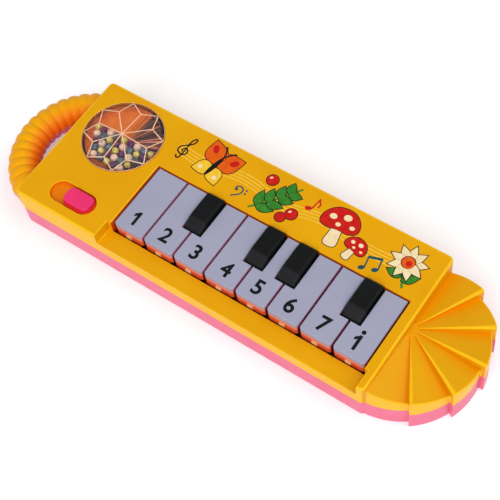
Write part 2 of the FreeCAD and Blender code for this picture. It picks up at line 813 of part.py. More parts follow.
def dome_window():
    """Clear window: a flange under the top plate and a cut top with rays that fork towards the rim."""
    rim_z = case_height + dome_rim_rise
    apex = vec(dome_x, dome_y, case_height + dome_apex_rise)
    slope = (dome_apex_rise - dome_rim_rise) / dome_radius
    half_step = 180 / dome_ray_count
    junction_radius = dome_radius * dome_junction_share
    junction_z = apex.z - slope * junction_radius * math.cos(math.radians(half_step))
    junctions = []
    rims = []
    for ray in range(dome_ray_count):
        x, y = polar(dome_x, dome_y, junction_radius, ray * 2 * half_step)
        junctions.append(vec(x, y, junction_z))
        x, y = polar(dome_x, dome_y, dome_radius, (2 * ray + 1) * half_step)
        rims.append(vec(x, y, rim_z))
    base_z = case_height - dome_thickness
    cut_top = []
    for ray in range(dome_ray_count):
        following = (ray + 1) % dome_ray_count
        kite = [apex, junctions[ray], rims[ray], junctions[following]]
        cut_top.append(Part.Face(Part.makePolygon(kite + kite[:1])))
        triangle = [junctions[following], rims[ray], rims[following]]
        cut_top.append(Part.Face(Part.makePolygon(triangle + triangle[:1])))
        foot = [vec(rims[index].x, rims[index].y, base_z) for index in (following, ray)]
        side = [rims[ray], rims[following]] + foot
        cut_top.append(Part.Face(Part.makePolygon(side + side[:1])))
    base = [vec(rim.x, rim.y, base_z) for rim in rims]
    cut_top.append(Part.Face(Part.makePolygon(base + base[:1])))
    gem = Part.Solid(Part.Shell(cut_top))
    if gem.Volume < 0:
        gem.reverse()
    disc = cylinder(dome_x, dome_y, base_z, rim_z, dome_radius)
    flange_z = plate_under - dome_flange_thickness
    flange = cylinder(dome_x, dome_y, flange_z, plate_under, dome_radius + dome_flange)
    skirt = cylinder(dome_x, dome_y, flange_z, rim_z, dome_radius)
    hollow = cylinder(dome_x, dome_y, flange_z - overrun, base_z, dome_radius - tray_wall)
    return disc.fuse(gem).fuse(flange).fuse(skirt).cut(hollow).removeSplitter()


def bead_tray():
    """Dish on the roof of the cell bay, closed by the window's flange."""
    rim = plate_under - dome_flange_thickness
    dish = cylinder(dome_x, dome_y, bay_top, rim, dome_radius + dome_flange)
    return dish.cut(cylinder(dome_x, dome_y, bay_top + tray_floor, rim + overrun, dome_radius - tray_wall))


def bead_places(radius):
    """Rows of beads on the floor of the tray, each row set between the beads of the last."""
    pitch = 2 * radius + bead_gap
    reach = dome_radius - tray_wall - radius - bead_gap
    rows = int(reach / pitch) + 1
    places = []
    for row in range(-rows, rows + 1):
        for column in range(-rows, rows + 1):
            x = (column + (row % 2) / 2) * pitch
            y = row * pitch * math.sin(math.radians(60))
            if math.hypot(x, y) < reach and y < reach * bead_fill_share:
                places.append((x, y, row, column))
    return places


def beads(group):
    """Loose beads of one colour."""
    floor = bay_top + tray_floor
    ceiling = case_height - dome_thickness
    radius = (ceiling - floor - 2 * bead_gap) / 2
    balls = []
    for x, y, row, column in bead_places(radius):
        if (column + 2 * row) % len(bead_group_names) == group:
            balls.append(Part.makeSphere(radius, vec(dome_x + x, dome_y + y, floor + bead_gap + radius)))
    return Part.makeCompound(balls)


def switch_knob():
    """Sliding knob: a base in the pocket, a grooved grip on it and a stem through the slot."""
    base_low = pocket_bottom + knob_clearance / 2
    base_top = base_low + knob_base_height
    base = obround(knob_x, switch_y, knob_length, pocket_width - 2 * knob_clearance, base_low, base_top)
    grip_top = base_top + knob_grip_height
    grip = block(knob_x, switch_y, knob_grip_length, knob_grip_width, base_low, grip_top)
    grip = grip.makeFillet(knob_grip_width / 3, edges_where(grip, lambda p, along: is_upright(along)))
    grip = grip.makeFillet(knob_edge_radius, edges_at_height(grip, grip_top))
    groove_pitch = knob_grip_length / (knob_groove_count + 1)
    for groove in range(knob_groove_count):
        x = knob_x - knob_grip_length / 2 + (groove + 1) * groove_pitch
        bottom = grip_top - knob_groove_depth
        grip = grip.cut(block(x, switch_y, knob_groove_width, 2 * knob_grip_width, bottom, clear_above))
    stem_end = pocket_under - stem_below_floor
    stem = block(knob_x, switch_y, stem_length, stem_width, stem_end, base_top)
    socket_length = lever_length + 2 * lever_clearance
    socket_width = lever_width + 2 * lever_clearance
    socket_top = stem_end + lever_socket_depth + lever_clearance
    socket = block(knob_x, switch_y, socket_length, socket_width, stem_end - overrun, socket_top)
    return base.fuse(grip).fuse(stem).cut(socket).removeSplitter()


def slide_switch_top():
    return pocket_under - slide_body_clearance


def slide_switch_body():
    """Slide switch on the roof of the cell bay, with a track for its lever."""
    middle = knob_x - knob_travel / 2
    top = slide_switch_top()
    body = block(middle, switch_y, slide_body_length, slide_body_width, bay_top, top)
    track_length = lever_length + knob_travel + 2 * knob_clearance
    track_width = lever_width + 2 * knob_clearance
    track_bottom = top - slide_recess_depth
    return body.cut(block(middle, switch_y, track_length, track_width, track_bottom, clear_above))


def slide_switch_lever():
    low = slide_switch_top() - slide_recess_depth + lever_clearance
    top = pocket_under - stem_below_floor + lever_socket_depth
    return block(knob_x, switch_y, lever_length, lever_width, low, top)


def battery_cells():
    """Two cells side by side, one the other way round."""
    offset = (cell_diameter + cell_gap) / 2
    cells = []
    for sign in (1, -1):
        body_start = -cell_length / 2 if sign > 0 else -cell_length / 2 + cell_nub_length
        nub_start = cell_length / 2 - cell_nub_length if sign > 0 else -cell_length / 2
        x = bay_x + sign * offset
        body_length = cell_length - cell_nub_length
        body = Part.makeCylinder(cell_diameter / 2, body_length, vec(x, body_start, cell_z), Y_AXIS)
        nub = Part.makeCylinder(cell_nub_radius, cell_nub_length, vec(x, nub_start, cell_z), Y_AXIS)
        cells.append(body.fuse(nub))
    return Part.makeCompound(cells)


def contact_bulge_at(x, sign):
    """Raised spot of a contact, which presses on the end of a cell."""
    start = vec(x, sign * (bay_half_length - contact_thickness), cell_z)
    towards_cell = vec(0, -sign, 0)
    return Part.makeCone(contact_bulge_radius, contact_bulge_top_radius, contact_bulge, start, towards_cell)


def contact_plate(x0, x1, sign):
    y0 = min(sign * bay_half_length, sign * (bay_half_length - contact_thickness))
    low = door_thickness + contact_foot_gap
    return box(x0, x1, y0, y0 + contact_thickness, low, bay_ceiling)


def battery_terminals():
    """Front contacts, one for each cell, with tails through the roof of the bay."""
    terminals = []
    half = cell_diameter / 2 - contact_inset
    for x, y in contact_tails():
        plate = contact_plate(x - half, x + half, -1)
        tail_low = bay_ceiling - contact_thickness
        tail = block(x, y, tail_width, contact_thickness, tail_low, bay_top + tail_rise)
        terminals.append(plate.fuse(contact_bulge_at(x, -1)).fuse(tail).removeSplitter())
    return Part.makeCompound(terminals)


def battery_bridge():
    """Rear contact that joins the two cells."""
    half = bay_half_width - contact_inset
    bridge = contact_plate(bay_x - half, bay_x + half, 1)
    for x, y in contact_tails():
        bridge = bridge.fuse(contact_bulge_at(x, 1))
    return bridge.removeSplitter()


def battery_door():
    """Door in the base: a plate with an ear for its screw, two tongues and finger grooves."""
    plate = bay_outline(door_lap - door_clearance, 0, door_thickness)
    plate = plate.fuse(door_ear(door_ear_radius - door_clearance, 0, door_thickness))
    for sign in (1, -1):
        plate = plate.fuse(door_tongue(sign, 0))
    groove_y = -(door_groove_count - 1) * door_groove_pitch / 2
    for groove in range(door_groove_count):
        y = groove_y + groove * door_groove_pitch
        groove_cut = obround(bay_x, y, door_groove_length, door_groove_width, -overrun, door_groove_depth)
        plate = plate.cut(groove_cut)
    plate = plate.cut(door_ear(screw_head_radius + screw_head_gap, -overrun, door_screw_seat()))
    return plate.cut(door_ear(screw_pass_radius, -overrun, case_height)).removeSplitter()


def door_screw_seat():
    return door_thickness - door_groove_depth


def battery_door_screw():
    ear_x = bay_x + bay_half_width + door_ear_offset
    return screw(ear_x, 0, door_screw_seat(), door_screw_length, True)


def speaker_frame():
    """Basket of the speaker, rim down on the floor, with a tab for its wires."""
    rim_top = floor_thickness + speaker_rim_height
    top = floor_thickness + speaker_basket_height
    neck = speaker_magnet_radius
    basket = turned([
        (speaker_radius, floor_thickness), (speaker_radius, rim_top), (neck, top), (0, top),
        (0, top - speaker_basket_wall), (neck - speaker_basket_wall, top - speaker_basket_wall),
        (speaker_radius - speaker_rim_width, floor_thickness),
    ], speaker_x, 0)
    tab_low = board_mid - speaker_tab_thickness / 2
    half = speaker_tab_width / 2
    tab = box(
        speaker_tab_left, speaker_x, -speaker_tab_side - half, -speaker_tab_side + half,
        tab_low, tab_low + speaker_tab_thickness)
    outside = turned([
        (0, floor_thickness), (speaker_radius, floor_thickness), (speaker_radius, rim_top),
        (neck, top), (0, top),
    ], speaker_x, 0)
    return basket.fuse(tab.cut(outside)).removeSplitter()


def speaker_magnet():
    top = floor_thickness + speaker_basket_height
    return cylinder(speaker_x, 0, top, top + speaker_magnet_height, speaker_magnet_radius)


def speaker_cone():
    """Paper cone inside the basket, facing down to the grille."""
    rim = speaker_radius - speaker_rim_width - speaker_cone_clearance
    low = floor_thickness + speaker_cone_clearance
    high = floor_thickness + speaker_basket_height - speaker_basket_wall - speaker_cone_clearance
    thin = speaker_cone_thickness
    return turned([
        (rim, low), (speaker_cone_radius, high), (0, high), (0, high - thin),
        (speaker_cone_radius - thin, high - thin), (rim - 2 * thin, low),
    ], speaker_x, 0)


def speaker_wires():
    """Two short leads from the board's right end to the speaker's tab."""
    leads = []
    for sign in (1, -1):
        y = -speaker_tab_side + sign * wire_spacing / 2
        start = vec(board_right, y, board_mid)
        leads.append(Part.makeCylinder(wire_radius, speaker_wire_length, start, X_AXIS))
    return Part.makeCompound(leads)


def power_wires():
    """Leads from the cells to the switch, and from the cells and the switch to the board."""
    z = bay_top + wire_radius + contact_thickness
    drop_x = bay_x + bay_half_width + bay_wall + wire_drop_gap
    first, second = contact_tails()
    tail_front = first[1] + contact_thickness / 2
    body_front = switch_y - slide_body_width / 2
    body_right = knob_x - knob_travel / 2 + slide_body_length / 2
    link = Part.makeCylinder(wire_radius, body_front - tail_front, vec(first[0], tail_front, z), Y_AXIS)
    near_y = board_front + board_depth / 3
    tail_x = second[0] + tail_width / 2
    tail_y = second[1]
    cell_lead = rounded_tube([
        vec(tail_x, tail_y, z), vec(drop_x, tail_y, z), vec(drop_x, tail_y, board_mid),
        vec(drop_x, near_y, board_mid), vec(board_left, near_y, board_mid),
    ], wire_bend, wire_radius)
    far_y = board_back - board_depth / 3
    switch_lead = rounded_tube([
        vec(body_right, switch_y, z), vec(drop_x, switch_y, z), vec(drop_x, far_y, z),
        vec(drop_x, far_y, board_mid), vec(board_left, far_y, board_mid),
    ], wire_bend, wire_radius)
    return Part.makeCompound([link, cell_lead, switch_lead])


def screw_group(places, seat, length, up):
    return Part.makeCompound([screw(place[0], place[1], seat, length, up) for place in places])


def build():
    """Make every piece and write each to its own file."""
    pieces = {
        "top_cover": top_cover(),
        "bottom_cover": bottom_cover(),
        "battery_door": battery_door(),
        "battery_door_screw": battery_door_screw(),
        "case_screws": screw_group(case_posts(), case_screw_seat, case_screw_length, True),
        "key_pivot_rod": key_pivot_rod(),
        "black_key_bar": black_key_bar(),
        "bar_screws": screw_group(bar_screw_places(), bar_top, small_screw_length, False),
        "main_board": main_board(),
        "board_screws": screw_group(board_screw_places(), board_top, small_screw_length, False),
        "contact_pad_strip": contact_pad_strip(),
        "sound_chip": sound_chip(),
        "dome_window": dome_window(),
        "bead_tray": bead_tray(),
        "switch_knob": switch_knob(),
        "slide_switch_body": slide_switch_body(),
        "slide_switch_lever": slide_switch_lever(),
        "battery_cells": battery_cells(),
        "battery_terminals": battery_terminals(),
        "battery_bridge": battery_bridge(),
        "speaker_frame": speaker_frame(),
        "speaker_magnet": speaker_magnet(),
        "speaker_cone": speaker_cone(),
        "speaker_wires": speaker_wires(),
        "power_wires": power_wires(),
    }
    for index in range(key_count):
        pieces["white_key_%d" % (index + 1)] = white_key(index)
    for group, name in enumerate(bead_group_names):
        pieces[name] = beads(group)
    os.makedirs("parts", exist_ok=True)
    for name, shape in pieces.items():
        shape.exportStep("parts/%s.step" % name)
        print(name, "solids", len(shape.Solids), "valid", shape.isValid(), "volume", round(shape.Volume, 1))


build()
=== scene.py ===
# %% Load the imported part
import math
import bpy
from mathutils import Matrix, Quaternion, Vector


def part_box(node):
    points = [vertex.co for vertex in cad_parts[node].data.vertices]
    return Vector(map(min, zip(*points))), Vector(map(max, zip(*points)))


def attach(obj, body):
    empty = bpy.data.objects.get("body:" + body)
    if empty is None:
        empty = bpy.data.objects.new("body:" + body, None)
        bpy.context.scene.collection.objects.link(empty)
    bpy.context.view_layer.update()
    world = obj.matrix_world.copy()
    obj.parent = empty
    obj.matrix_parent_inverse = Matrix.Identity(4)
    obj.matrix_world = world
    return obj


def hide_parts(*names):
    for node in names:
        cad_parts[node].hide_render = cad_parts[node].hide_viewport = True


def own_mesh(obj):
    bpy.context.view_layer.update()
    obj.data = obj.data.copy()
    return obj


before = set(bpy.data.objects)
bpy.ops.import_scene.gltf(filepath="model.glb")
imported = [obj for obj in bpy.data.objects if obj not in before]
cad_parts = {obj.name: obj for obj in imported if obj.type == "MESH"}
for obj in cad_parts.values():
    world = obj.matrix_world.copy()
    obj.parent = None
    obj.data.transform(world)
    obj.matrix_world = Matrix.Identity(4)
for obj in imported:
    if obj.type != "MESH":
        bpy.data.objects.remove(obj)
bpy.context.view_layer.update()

# %% [markdown]
# # A toy piano
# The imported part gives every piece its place. The first numbers to take from it are the outline of
# the case, the height at which its two shells meet, and the row of keys. Everything that is modelled
# later hangs on these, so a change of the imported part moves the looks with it. The few sizes that no
# box can tell, such as the depth of a step, are written in millimetres.

# %% Measure the case and the keys
mm = 0.001
shell_low, shell_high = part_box("top_cover")
handle_reach = 21.9 * mm
fan_reach = 27.8 * mm
case_left = shell_low.x + handle_reach
case_right = shell_high.x - fan_reach
case_front = shell_low.y
case_back = shell_high.y
parting = shell_low.z
case_top = shell_high.z
wall = 2.0 * mm

key_count = 8
key_gap = 0.8 * mm
first_low, first_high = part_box("white_key_1")
key_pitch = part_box("white_key_2")[0].x - first_low.x
key_left = first_low.x - key_gap / 2
key_right = key_left + key_count * key_pitch
key_top = first_high.z
key_front = case_front + 8.2 * mm
panel_edge = key_front + 27.6 * mm
opening_front = key_front - 0.9 * mm
strip_left = key_left - 2.0 * mm
strip_right = key_right + 1.6 * mm
strip_height = case_top - 5.0 * mm


def key_middle(index):
    """Middle of a white key along X."""
    return key_left + (index + 0.5) * key_pitch


def middle_of(node, axis):
    """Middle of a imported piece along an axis."""
    low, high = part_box(node)
    return (low["xyz".index(axis)] + high["xyz".index(axis)]) / 2


print("case", round((case_right - case_left) / mm, 2), "mm long")
print("keys", round(key_pitch / mm, 2), "mm apart")

# %% [markdown]
# ## Camera
# The photograph looks down on the front right corner from a distance, with the toy turned a little
# in the picture. A long lens keeps the keys nearly parallel. The camera is aimed with a tracking
# turn, and a roll about its own axis then tilts the picture.

# %% Camera
camera_place = Vector((158.2, -155.2, 366.9)) * mm
camera_aim = Vector((6.45, -0.61, 10.0)) * mm
camera_roll = math.radians(-11.18)
camera_lens = 85.8

bpy.ops.object.camera_add(location=camera_place)
camera = bpy.context.object
aim = (camera_aim - camera_place).to_track_quat("-Z", "Y")
camera.rotation_mode = "QUATERNION"
camera.rotation_quaternion = aim @ Quaternion((0, 0, 1), camera_roll)
camera.data.lens = camera_lens
camera.data.clip_start = 0.01
bpy.context.scene.camera = camera
bpy.context.scene.view_settings.view_transform = "Standard"
print("camera", round((camera_aim - camera_place).length, 3), "m from the toy")

# %% [markdown]
# ## Shader nodes
# Every plastic, and the background too, is a small network of shader nodes. A few helpers keep that
# short: one adds a node and gives each of its inputs a value or a link, one does a sum, and one maps a
# value from one range to another.

# %% Helpers for shader nodes


def fill(node, inputs):
    """Give inputs of a shader node a value each, or a link from another node."""
    for socket, source in inputs.items():
        if isinstance(source, bpy.types.NodeSocket):
            node.id_data.links.new(source, node.inputs[socket])
        else:
            node.inputs[socket].default_value = source
    return node


def add_node(tree, kind, inputs):
    """Add a shader node and fill its inputs."""
    return fill(tree.nodes.new("ShaderNode" + kind), inputs)


def reckon(tree, operation, *values):
    """Result of a sum on one or two values."""
    step = add_node(tree, "Math", dict(enumerate(values)))
    step.operation = operation
    return step.outputs[0]


def spread(tree, value, low, high, to_low, to_high):
    """Map a value from one range to another."""
    return add_node(tree, "MapRange", {
        "Value": value, "From Min": low, "From Max": high, "To Min": to_low, "To Max": to_high,
    }).outputs["Result"]


def new_material(name):
    """New material, and its shader."""
    material = bpy.data.materials.new(name)
    material.use_nodes = True
    return material, material.node_tree.nodes["Principled BSDF"]


# %% [markdown]
# ## Studio
# A pale floor and large soft lamps stand in for a light tent. Most of the light comes from the front,
# on the camera's side, as in the photograph, so the front walls are brighter than the deck. The world
# is white to the camera, to reflections and through the clear window, and dimmer as a light. The floor
# gets a little glow for those same rays, so that it reads as white and still takes the shadow.

# %% Studio
white = (1, 1, 1, 1)
floor_glow = 0.26
sky_light = 0.45


def seen_level(tree, hidden, shown):
    """One level as a light, and another for rays from the camera, in reflections and through glass."""
    rays = add_node(tree, "LightPath", {})
    seen = rays.outputs["Is Camera Ray"]
    for kind in ("Is Glossy Ray", "Is Transmission Ray"):
        seen = reckon(tree, "MAXIMUM", seen, rays.outputs[kind])
    return spread(tree, seen, 0, 1, hidden, shown)


def soft_lamp(name, place, size, power):
    """Square lamp aimed at the middle of the toy."""
    bpy.ops.object.light_add(type="AREA", location=place)
    lamp = bpy.context.object
    lamp.name = name
    lamp.data.size = size
    lamp.data.energy = power
    lamp.rotation_mode = "QUATERNION"
    lamp.rotation_quaternion = (-Vector(place)).to_track_quat("-Z", "Y")


bpy.ops.mesh.primitive_plane_add(size=6, location=(0, 0, -0.1 * mm))
floor = bpy.context.object
floor.name = "floor"
paper, paper_shader = new_material("white_paper")
fill(paper_shader, {
    "Base Color": (0.9, 0.9, 0.9, 1), "Roughness": 0.9, "Emission Color": white,
    "Emission Strength": seen_level(paper.node_tree, 0, floor_glow)})
floor.data.materials.append(paper)
soft_lamp("key_lamp", (0.2, -0.85, 0.8), 0.8, 7.4)
soft_lamp("side_lamp", (0.7, 0.35, 0.9), 0.9, 4.6)
world = bpy.data.worlds.new("light_tent")
bpy.context.scene.world = world
world.use_nodes = True
fill(world.node_tree.nodes["Background"], {
    "Color": white, "Strength": seen_level(world.node_tree, sky_light, 1.0)})

# %% [markdown]
# ## Tools for selecting
# The pieces are blocks and drums that are cut, joined and rounded. Blender's tools work on what is
# selected, so the first helpers select: one piece among the others, all of it in edit mode, or those of
# its points, edges or faces that pass a test.

# %% Helpers for selecting
tiny = 0.02 * mm


def only(piece):
    """Select one piece and make it active."""
    bpy.ops.object.select_all(action="DESELECT")
    piece.select_set(True)
    bpy.context.view_layer.objects.active = piece


def leave():
    """Go back to object mode."""
    bpy.ops.object.mode_set(mode="OBJECT")


def edit_all(piece):
    """Select all of a piece in edit mode."""
    only(piece)
    bpy.ops.object.mode_set(mode="EDIT")
    bpy.ops.mesh.select_all(action="SELECT")


def unpick(piece, kind):
    """Deselect all of a piece, ready to pick points, edges or faces."""
    only(piece)
    bpy.ops.object.mode_set(mode="EDIT")
    bpy.ops.mesh.select_mode(type=kind)
    bpy.ops.mesh.select_all(action="DESELECT")
    leave()


def pick(piece, kind, test):
    """Select the points, edges or faces that pass a test, and stay in edit mode."""
    unpick(piece, kind)
    mesh = piece.data
    for part in {"VERT": mesh.vertices, "EDGE": mesh.edges, "FACE": mesh.polygons}[kind]:
        part.select = test(part)
    bpy.ops.object.mode_set(mode="EDIT")


# %% [markdown]
# ## Tools for shaping
# These start a block or a drum at its place, round the edges that a test picks by where they lie, cut
# with a plane, and cut or join with a Boolean modifier that is applied at once.

# %% Helpers for shaping
fold_limit = math.cos(math.radians(25))
lying_x = (0, math.pi / 2, 0)
lying_y = (math.pi / 2, 0, 0)


def settle(piece, name):
    """Name a new piece and put its place, turn and scale into its mesh."""
    piece.name = name
    piece.data.name = name
    only(piece)
    bpy.ops.object.transform_apply(location=True, rotation=True, scale=True)
    return piece


def block(name, low, high):
    """Block between two opposite corners."""
    low = Vector(low)
    high = Vector(high)
    bpy.ops.mesh.primitive_cube_add(size=1, location=(low + high) / 2, scale=high - low)
    return settle(bpy.context.object, name)


def rod(name, middle, radius, length, turn, sides):
    """Cylinder turned from upright."""
    bpy.ops.mesh.primitive_cylinder_add(
        vertices=sides, radius=radius, depth=length, location=middle, rotation=turn)
    return settle(bpy.context.object, name)


def drum(name, x, y, radius, low, high, sides=96):
    """Upright cylinder between two heights."""
    return rod(name, (x, y, (low + high) / 2), radius, high - low, (0, 0, 0), sides)


def round_edges(piece, test, width, segments, material=-1):
    """Round the folded edges whose two ends pass a test. The new faces may take a material slot."""
    unpick(piece, "EDGE")
    points = piece.data.vertices
    normals = {}
    for face in piece.data.polygons:
        for key in face.edge_keys:
            normals.setdefault(key, []).append(face.normal)
    for edge in piece.data.edges:
        sides = normals[edge.key]
        folded = len(sides) == 2 and sides[0].dot(sides[1]) < fold_limit
        edge.select = folded and test(*(points[end].co for end in edge.vertices))
    bpy.ops.object.mode_set(mode="EDIT")
    bpy.ops.mesh.bevel(offset=width, segments=segments, affect="EDGES", material=material)
    leave()


def upright(a, b):
    """Test for edges that stand upright."""
    return abs(a.x - b.x) < tiny and abs(a.y - b.y) < tiny


def at_height(z):
    """Test for edges that lie level at a height."""
    return lambda a, b: abs(a.z - z) < tiny and abs(b.z - z) < tiny


def slice_off(piece, point, outward):
    """Cut a piece with a plane, throw away the side that outward points to, and close the cut."""
    edit_all(piece)
    bpy.ops.mesh.bisect(
        plane_co=point, plane_no=outward, use_fill=True, clear_outer=True, threshold=0.001 * mm)
    leave()


def combine(piece, tool, how):
    """Combine a piece with a tool by a Boolean step. The tool is used up."""
    only(piece)
    step = piece.modifiers.new("combine", "BOOLEAN")
    step.operation = how
    step.solver = "EXACT"
    step.object = tool
    bpy.ops.object.modifier_apply(modifier=step.name)
    bpy.data.objects.remove(tool)


def cut(piece, tool):
    """Take a tool's room out of a piece."""
    combine(piece, tool, "DIFFERENCE")


def join(piece, tool):
    """Make a tool part of a piece."""
    combine(piece, tool, "UNION")


def soften(piece, width, segments=2, angle=50):
    """Round every edge that is sharper than an angle."""
    only(piece)
    step = piece.modifiers.new("soften", "BEVEL")
    step.width = width
    step.segments = segments
    step.limit_method = "ANGLE"
    step.angle_limit = math.radians(angle)
    bpy.ops.object.modifier_apply(modifier=step.name)


def merge_near(piece, distance):
    """Merge points that lie closer than a distance, sorted first so that each run merges them alike."""
    cursor = bpy.context.scene.cursor
    cursor.location = (-1, -2, -3)
    edit_all(piece)
    bpy.ops.mesh.sort_elements(type="CURSOR_DISTANCE", elements={"VERT", "EDGE", "FACE"})
    bpy.ops.mesh.remove_doubles(threshold=distance)
    leave()
    cursor.location = (0, 0, 0)


def pick_level_faces(piece, height):
    """Select the level faces at a height, and stay in edit mode."""
    pick(piece, "FACE", lambda face: abs(face.normal.z) > 0.99 and abs(face.center.z - height) < tiny)


def split_level_faces(piece, height):
    """Split the level faces at a height into triangles, so that a bevel round them keeps them whole."""
    pick_level_faces(piece, height)
    bpy.ops.mesh.quads_convert_to_tris()
    leave()


# %% [markdown]
# ## Tools for finishing
# A finished piece gets smooth shading, its material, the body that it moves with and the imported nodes
# that it stands for. Copying a piece and joining several to one belong here too.

# %% Helpers for finishing
smooth_limit = math.radians(38)


def copy_of(piece):
    """Copy with its own mesh."""
    only(piece)
    bpy.ops.object.duplicate(linked=False)
    return bpy.context.object


def join_pieces(pieces, name):
    """Make one piece of several."""
    bpy.ops.object.select_all(action="DESELECT")
    for piece in pieces:
        piece.select_set(True)
    bpy.context.view_layer.objects.active = pieces[0]
    bpy.ops.object.join()
    return settle(bpy.context.object, name)


def dress(piece, *materials):
    """Give a piece these materials and no others."""
    piece.data.materials.clear()
    for material in materials:
        piece.data.materials.append(material)


def finish_piece(piece, body, material, slot, *nodes):
    """Smooth shading with flat faces kept flat, then material, body and the CAD nodes it stands for."""
    merge_near(piece, 0.001 * mm)
    bpy.ops.object.shade_smooth_by_angle(angle=smooth_limit)
    step = piece.modifiers.new("flat_faces", "WEIGHTED_NORMAL")
    step.keep_sharp = True
    bpy.ops.object.modifier_apply(modifier=step.name)
    if material:
        dress(piece, material)
    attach(piece, body)
    if nodes:
        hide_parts(*nodes)
    print(piece.name, len(piece.data.polygons), "faces on", body)


# %% [markdown]
# ## Moulded plastic
# Most of the toy is injection-moulded plastic. A new moulding is not one flat colour: the pigment
# drifts slowly over a few centimetres, handling leaves faint smudges in the gloss, and the steel
# mould leaves a fine grain. Three noise patterns give these, each at its own scale. They read Object
# coordinates, so they stay on the piece in every view. Colours are written as screen values of 0 to
# 255. A second colour can be laid over a plastic by place: along an axis, or about an upright one.

# %% Helpers for materials
noise_low = 0.3
noise_high = 0.7
smudge_scale = 160
grain_scale = 2600
grain_height = 0.1 * mm


def tint(red, green, blue):
    """Colour from screen values, as the linear values that a shader takes."""
    linear = []
    for level in (red, green, blue):
        share = level / 255
        linear.append(share / 12.92 if share < 0.04045 else ((share + 0.055) / 1.055) ** 2.4)
    return (*linear, 1)


def noise(tree, place, scale, detail):
    """Noise pattern that reads a place."""
    return add_node(tree, "TexNoise", {"Scale": scale, "Detail": detail, "Vector": place}).outputs["Fac"]


def blend_colours(tree, share, first, second):
    """Colour that goes from the first to the second with a share."""
    mix = tree.nodes.new("ShaderNodeMix")
    mix.data_type = "RGBA"
    return fill(mix, {"A": first, "B": second, "Factor": share}).outputs["Result"]


def moulded(name, colour, drift, roughness=0.32, grain=0.06, drift_scale=45, gloss=0.1):
    """Moulded plastic whose colour drifts to a second one, with smudged gloss and a fine grain."""
    material, shader = new_material(name)
    tree = material.node_tree
    place = add_node(tree, "TexCoord", {}).outputs["Object"]
    cloud = spread(tree, noise(tree, place, drift_scale, 3), noise_low, noise_high, 0, 1)
    smudge = noise(tree, place, smudge_scale, 4)
    bump = add_node(tree, "Bump", {
        "Strength": grain, "Distance": grain_height, "Height": noise(tree, place, grain_scale, 2)})
    fill(shader, {
        "Base Color": blend_colours(tree, cloud, tint(*colour), tint(*drift)),
        "Specular IOR Level": gloss,
        "Roughness": spread(tree, smudge, noise_low, noise_high, roughness - 0.05, roughness + 0.07),
        "Normal": bump.outputs["Normal"]})
    return material


def place_on(material):
    """Object coordinates in a moulded plastic."""
    return material.node_tree.nodes["Texture Coordinate"].outputs["Object"]


def along(material, axis, start, end):
    """Share that goes from 0 to 1 along an axis, between two places."""
    parts = add_node(material.node_tree, "SeparateXYZ", {"Vector": place_on(material)})
    return spread(material.node_tree, parts.outputs[axis], start, end, 0, 1)


def about(material, x, y):
    """Place measured level from an upright axis."""
    return add_node(material.node_tree, "Mapping", {
        "Location": (-x, -y, 0), "Scale": (1, 1, 0), "Vector": place_on(material)}).outputs["Vector"]


def away_from(material, x, y, near, far):
    """Share that goes from 0 to 1 with the distance from an upright axis."""
    length = add_node(material.node_tree, "VectorMath", {0: about(material, x, y)})
    length.operation = "LENGTH"
    return spread(material.node_tree, length.outputs["Value"], near, far, 0, 1)


def turn_about(material, x, y):
    """Angle about an upright axis, as a share of a turn."""
    turn = add_node(material.node_tree, "TexGradient", {"Vector": about(material, x, y)})
    turn.gradient_type = "RADIAL"
    return turn.outputs["Fac"]


def lay_over(material, share, *colour):
    """Lay a colour of painted light or shade over a plastic, as strongly as a share says."""
    shader = material.node_tree.nodes["Principled BSDF"]
    under = shader.inputs["Base Color"].links[0].from_socket
    fill(shader, {"Base Color": blend_colours(material.node_tree, share, under, tint(*colour))})


# %% [markdown]
# ## Plastics of the shells
# The yellow shell gets six finishes. Its rounded edges, the crests and outer wall of the fan and the front
# wall are paler, a painted highlight where they catch the light, and where orange light from the next wall
# falls on it, as at the key opening, in the pocket, at the foot of each pleat and inside the handle, the
# plastic is written deeper, as painted bounce light and painted shade.

# %% Plastics of the shells
yellow = ((235, 170, 3), (229, 161, 2))
yellow_shell = moulded("yellow_shell", *yellow)
# Painted highlight: a paler yellow for rounded edges, crests, the fan's outer wall and the front wall that
# faces the light.
yellow_painted_highlight = moulded("yellow_painted_highlight", (250, 196, 24), (246, 186, 16))
# Painted bounce light: red-orange for the upright walls of the key opening.
opening_painted_bounce_light = moulded("opening_painted_bounce_light", (226, 96, 30), (214, 80, 26))
# Painted shade: deeper orange for the floor and walls of the switch pocket.
pocket_painted_shade = moulded("pocket_painted_shade", (236, 132, 6), (228, 120, 4))
# Painted shade: the pleats' yellow is deepened to orange towards the foot of each riser.
fan_painted_shade = moulded("fan_painted_shade", *yellow)
# Painted bounce light: the handle's yellow turns orange towards the inside of its ring.
handle_painted_bounce_light = moulded("handle_painted_bounce_light", (246, 174, 4), (240, 164, 2))
pink_shell = moulded("pink_shell", (240, 122, 152), (236, 114, 146))
shell_slots = [yellow_shell, yellow_painted_highlight, opening_painted_bounce_light, pocket_painted_shade, fan_painted_shade, handle_painted_bounce_light]
print("shell plastics", [plastic.name for plastic in shell_slots], pink_shell.name)

# %% [markdown]
# ## Upper shell: the block of the deck
# The upper shell is one moulding: a deck, a fan at its right end and half of the handle at its left
# end. It starts as a solid block with rounded corners and a rounded top edge. Everything is joined
# while it is solid and hollowed afterwards, because Boolean steps work best on plain closed forms.

# %% Block of the deck
above = case_top + 5 * mm
below = parting - 1 * mm
corner_round = 2.0 * mm
rim_round = 0.8 * mm
deck = block("upper_shell", (case_left, case_front, below), (case_right, case_back, case_top))
dress(deck, *shell_slots)
shell_highlight_slot = shell_slots.index(yellow_painted_highlight)
round_edges(deck, upright, corner_round, 8)
round_edges(deck, at_height(case_top), rim_round, 4, shell_highlight_slot)
print("deck", len(deck.data.polygons), "faces")

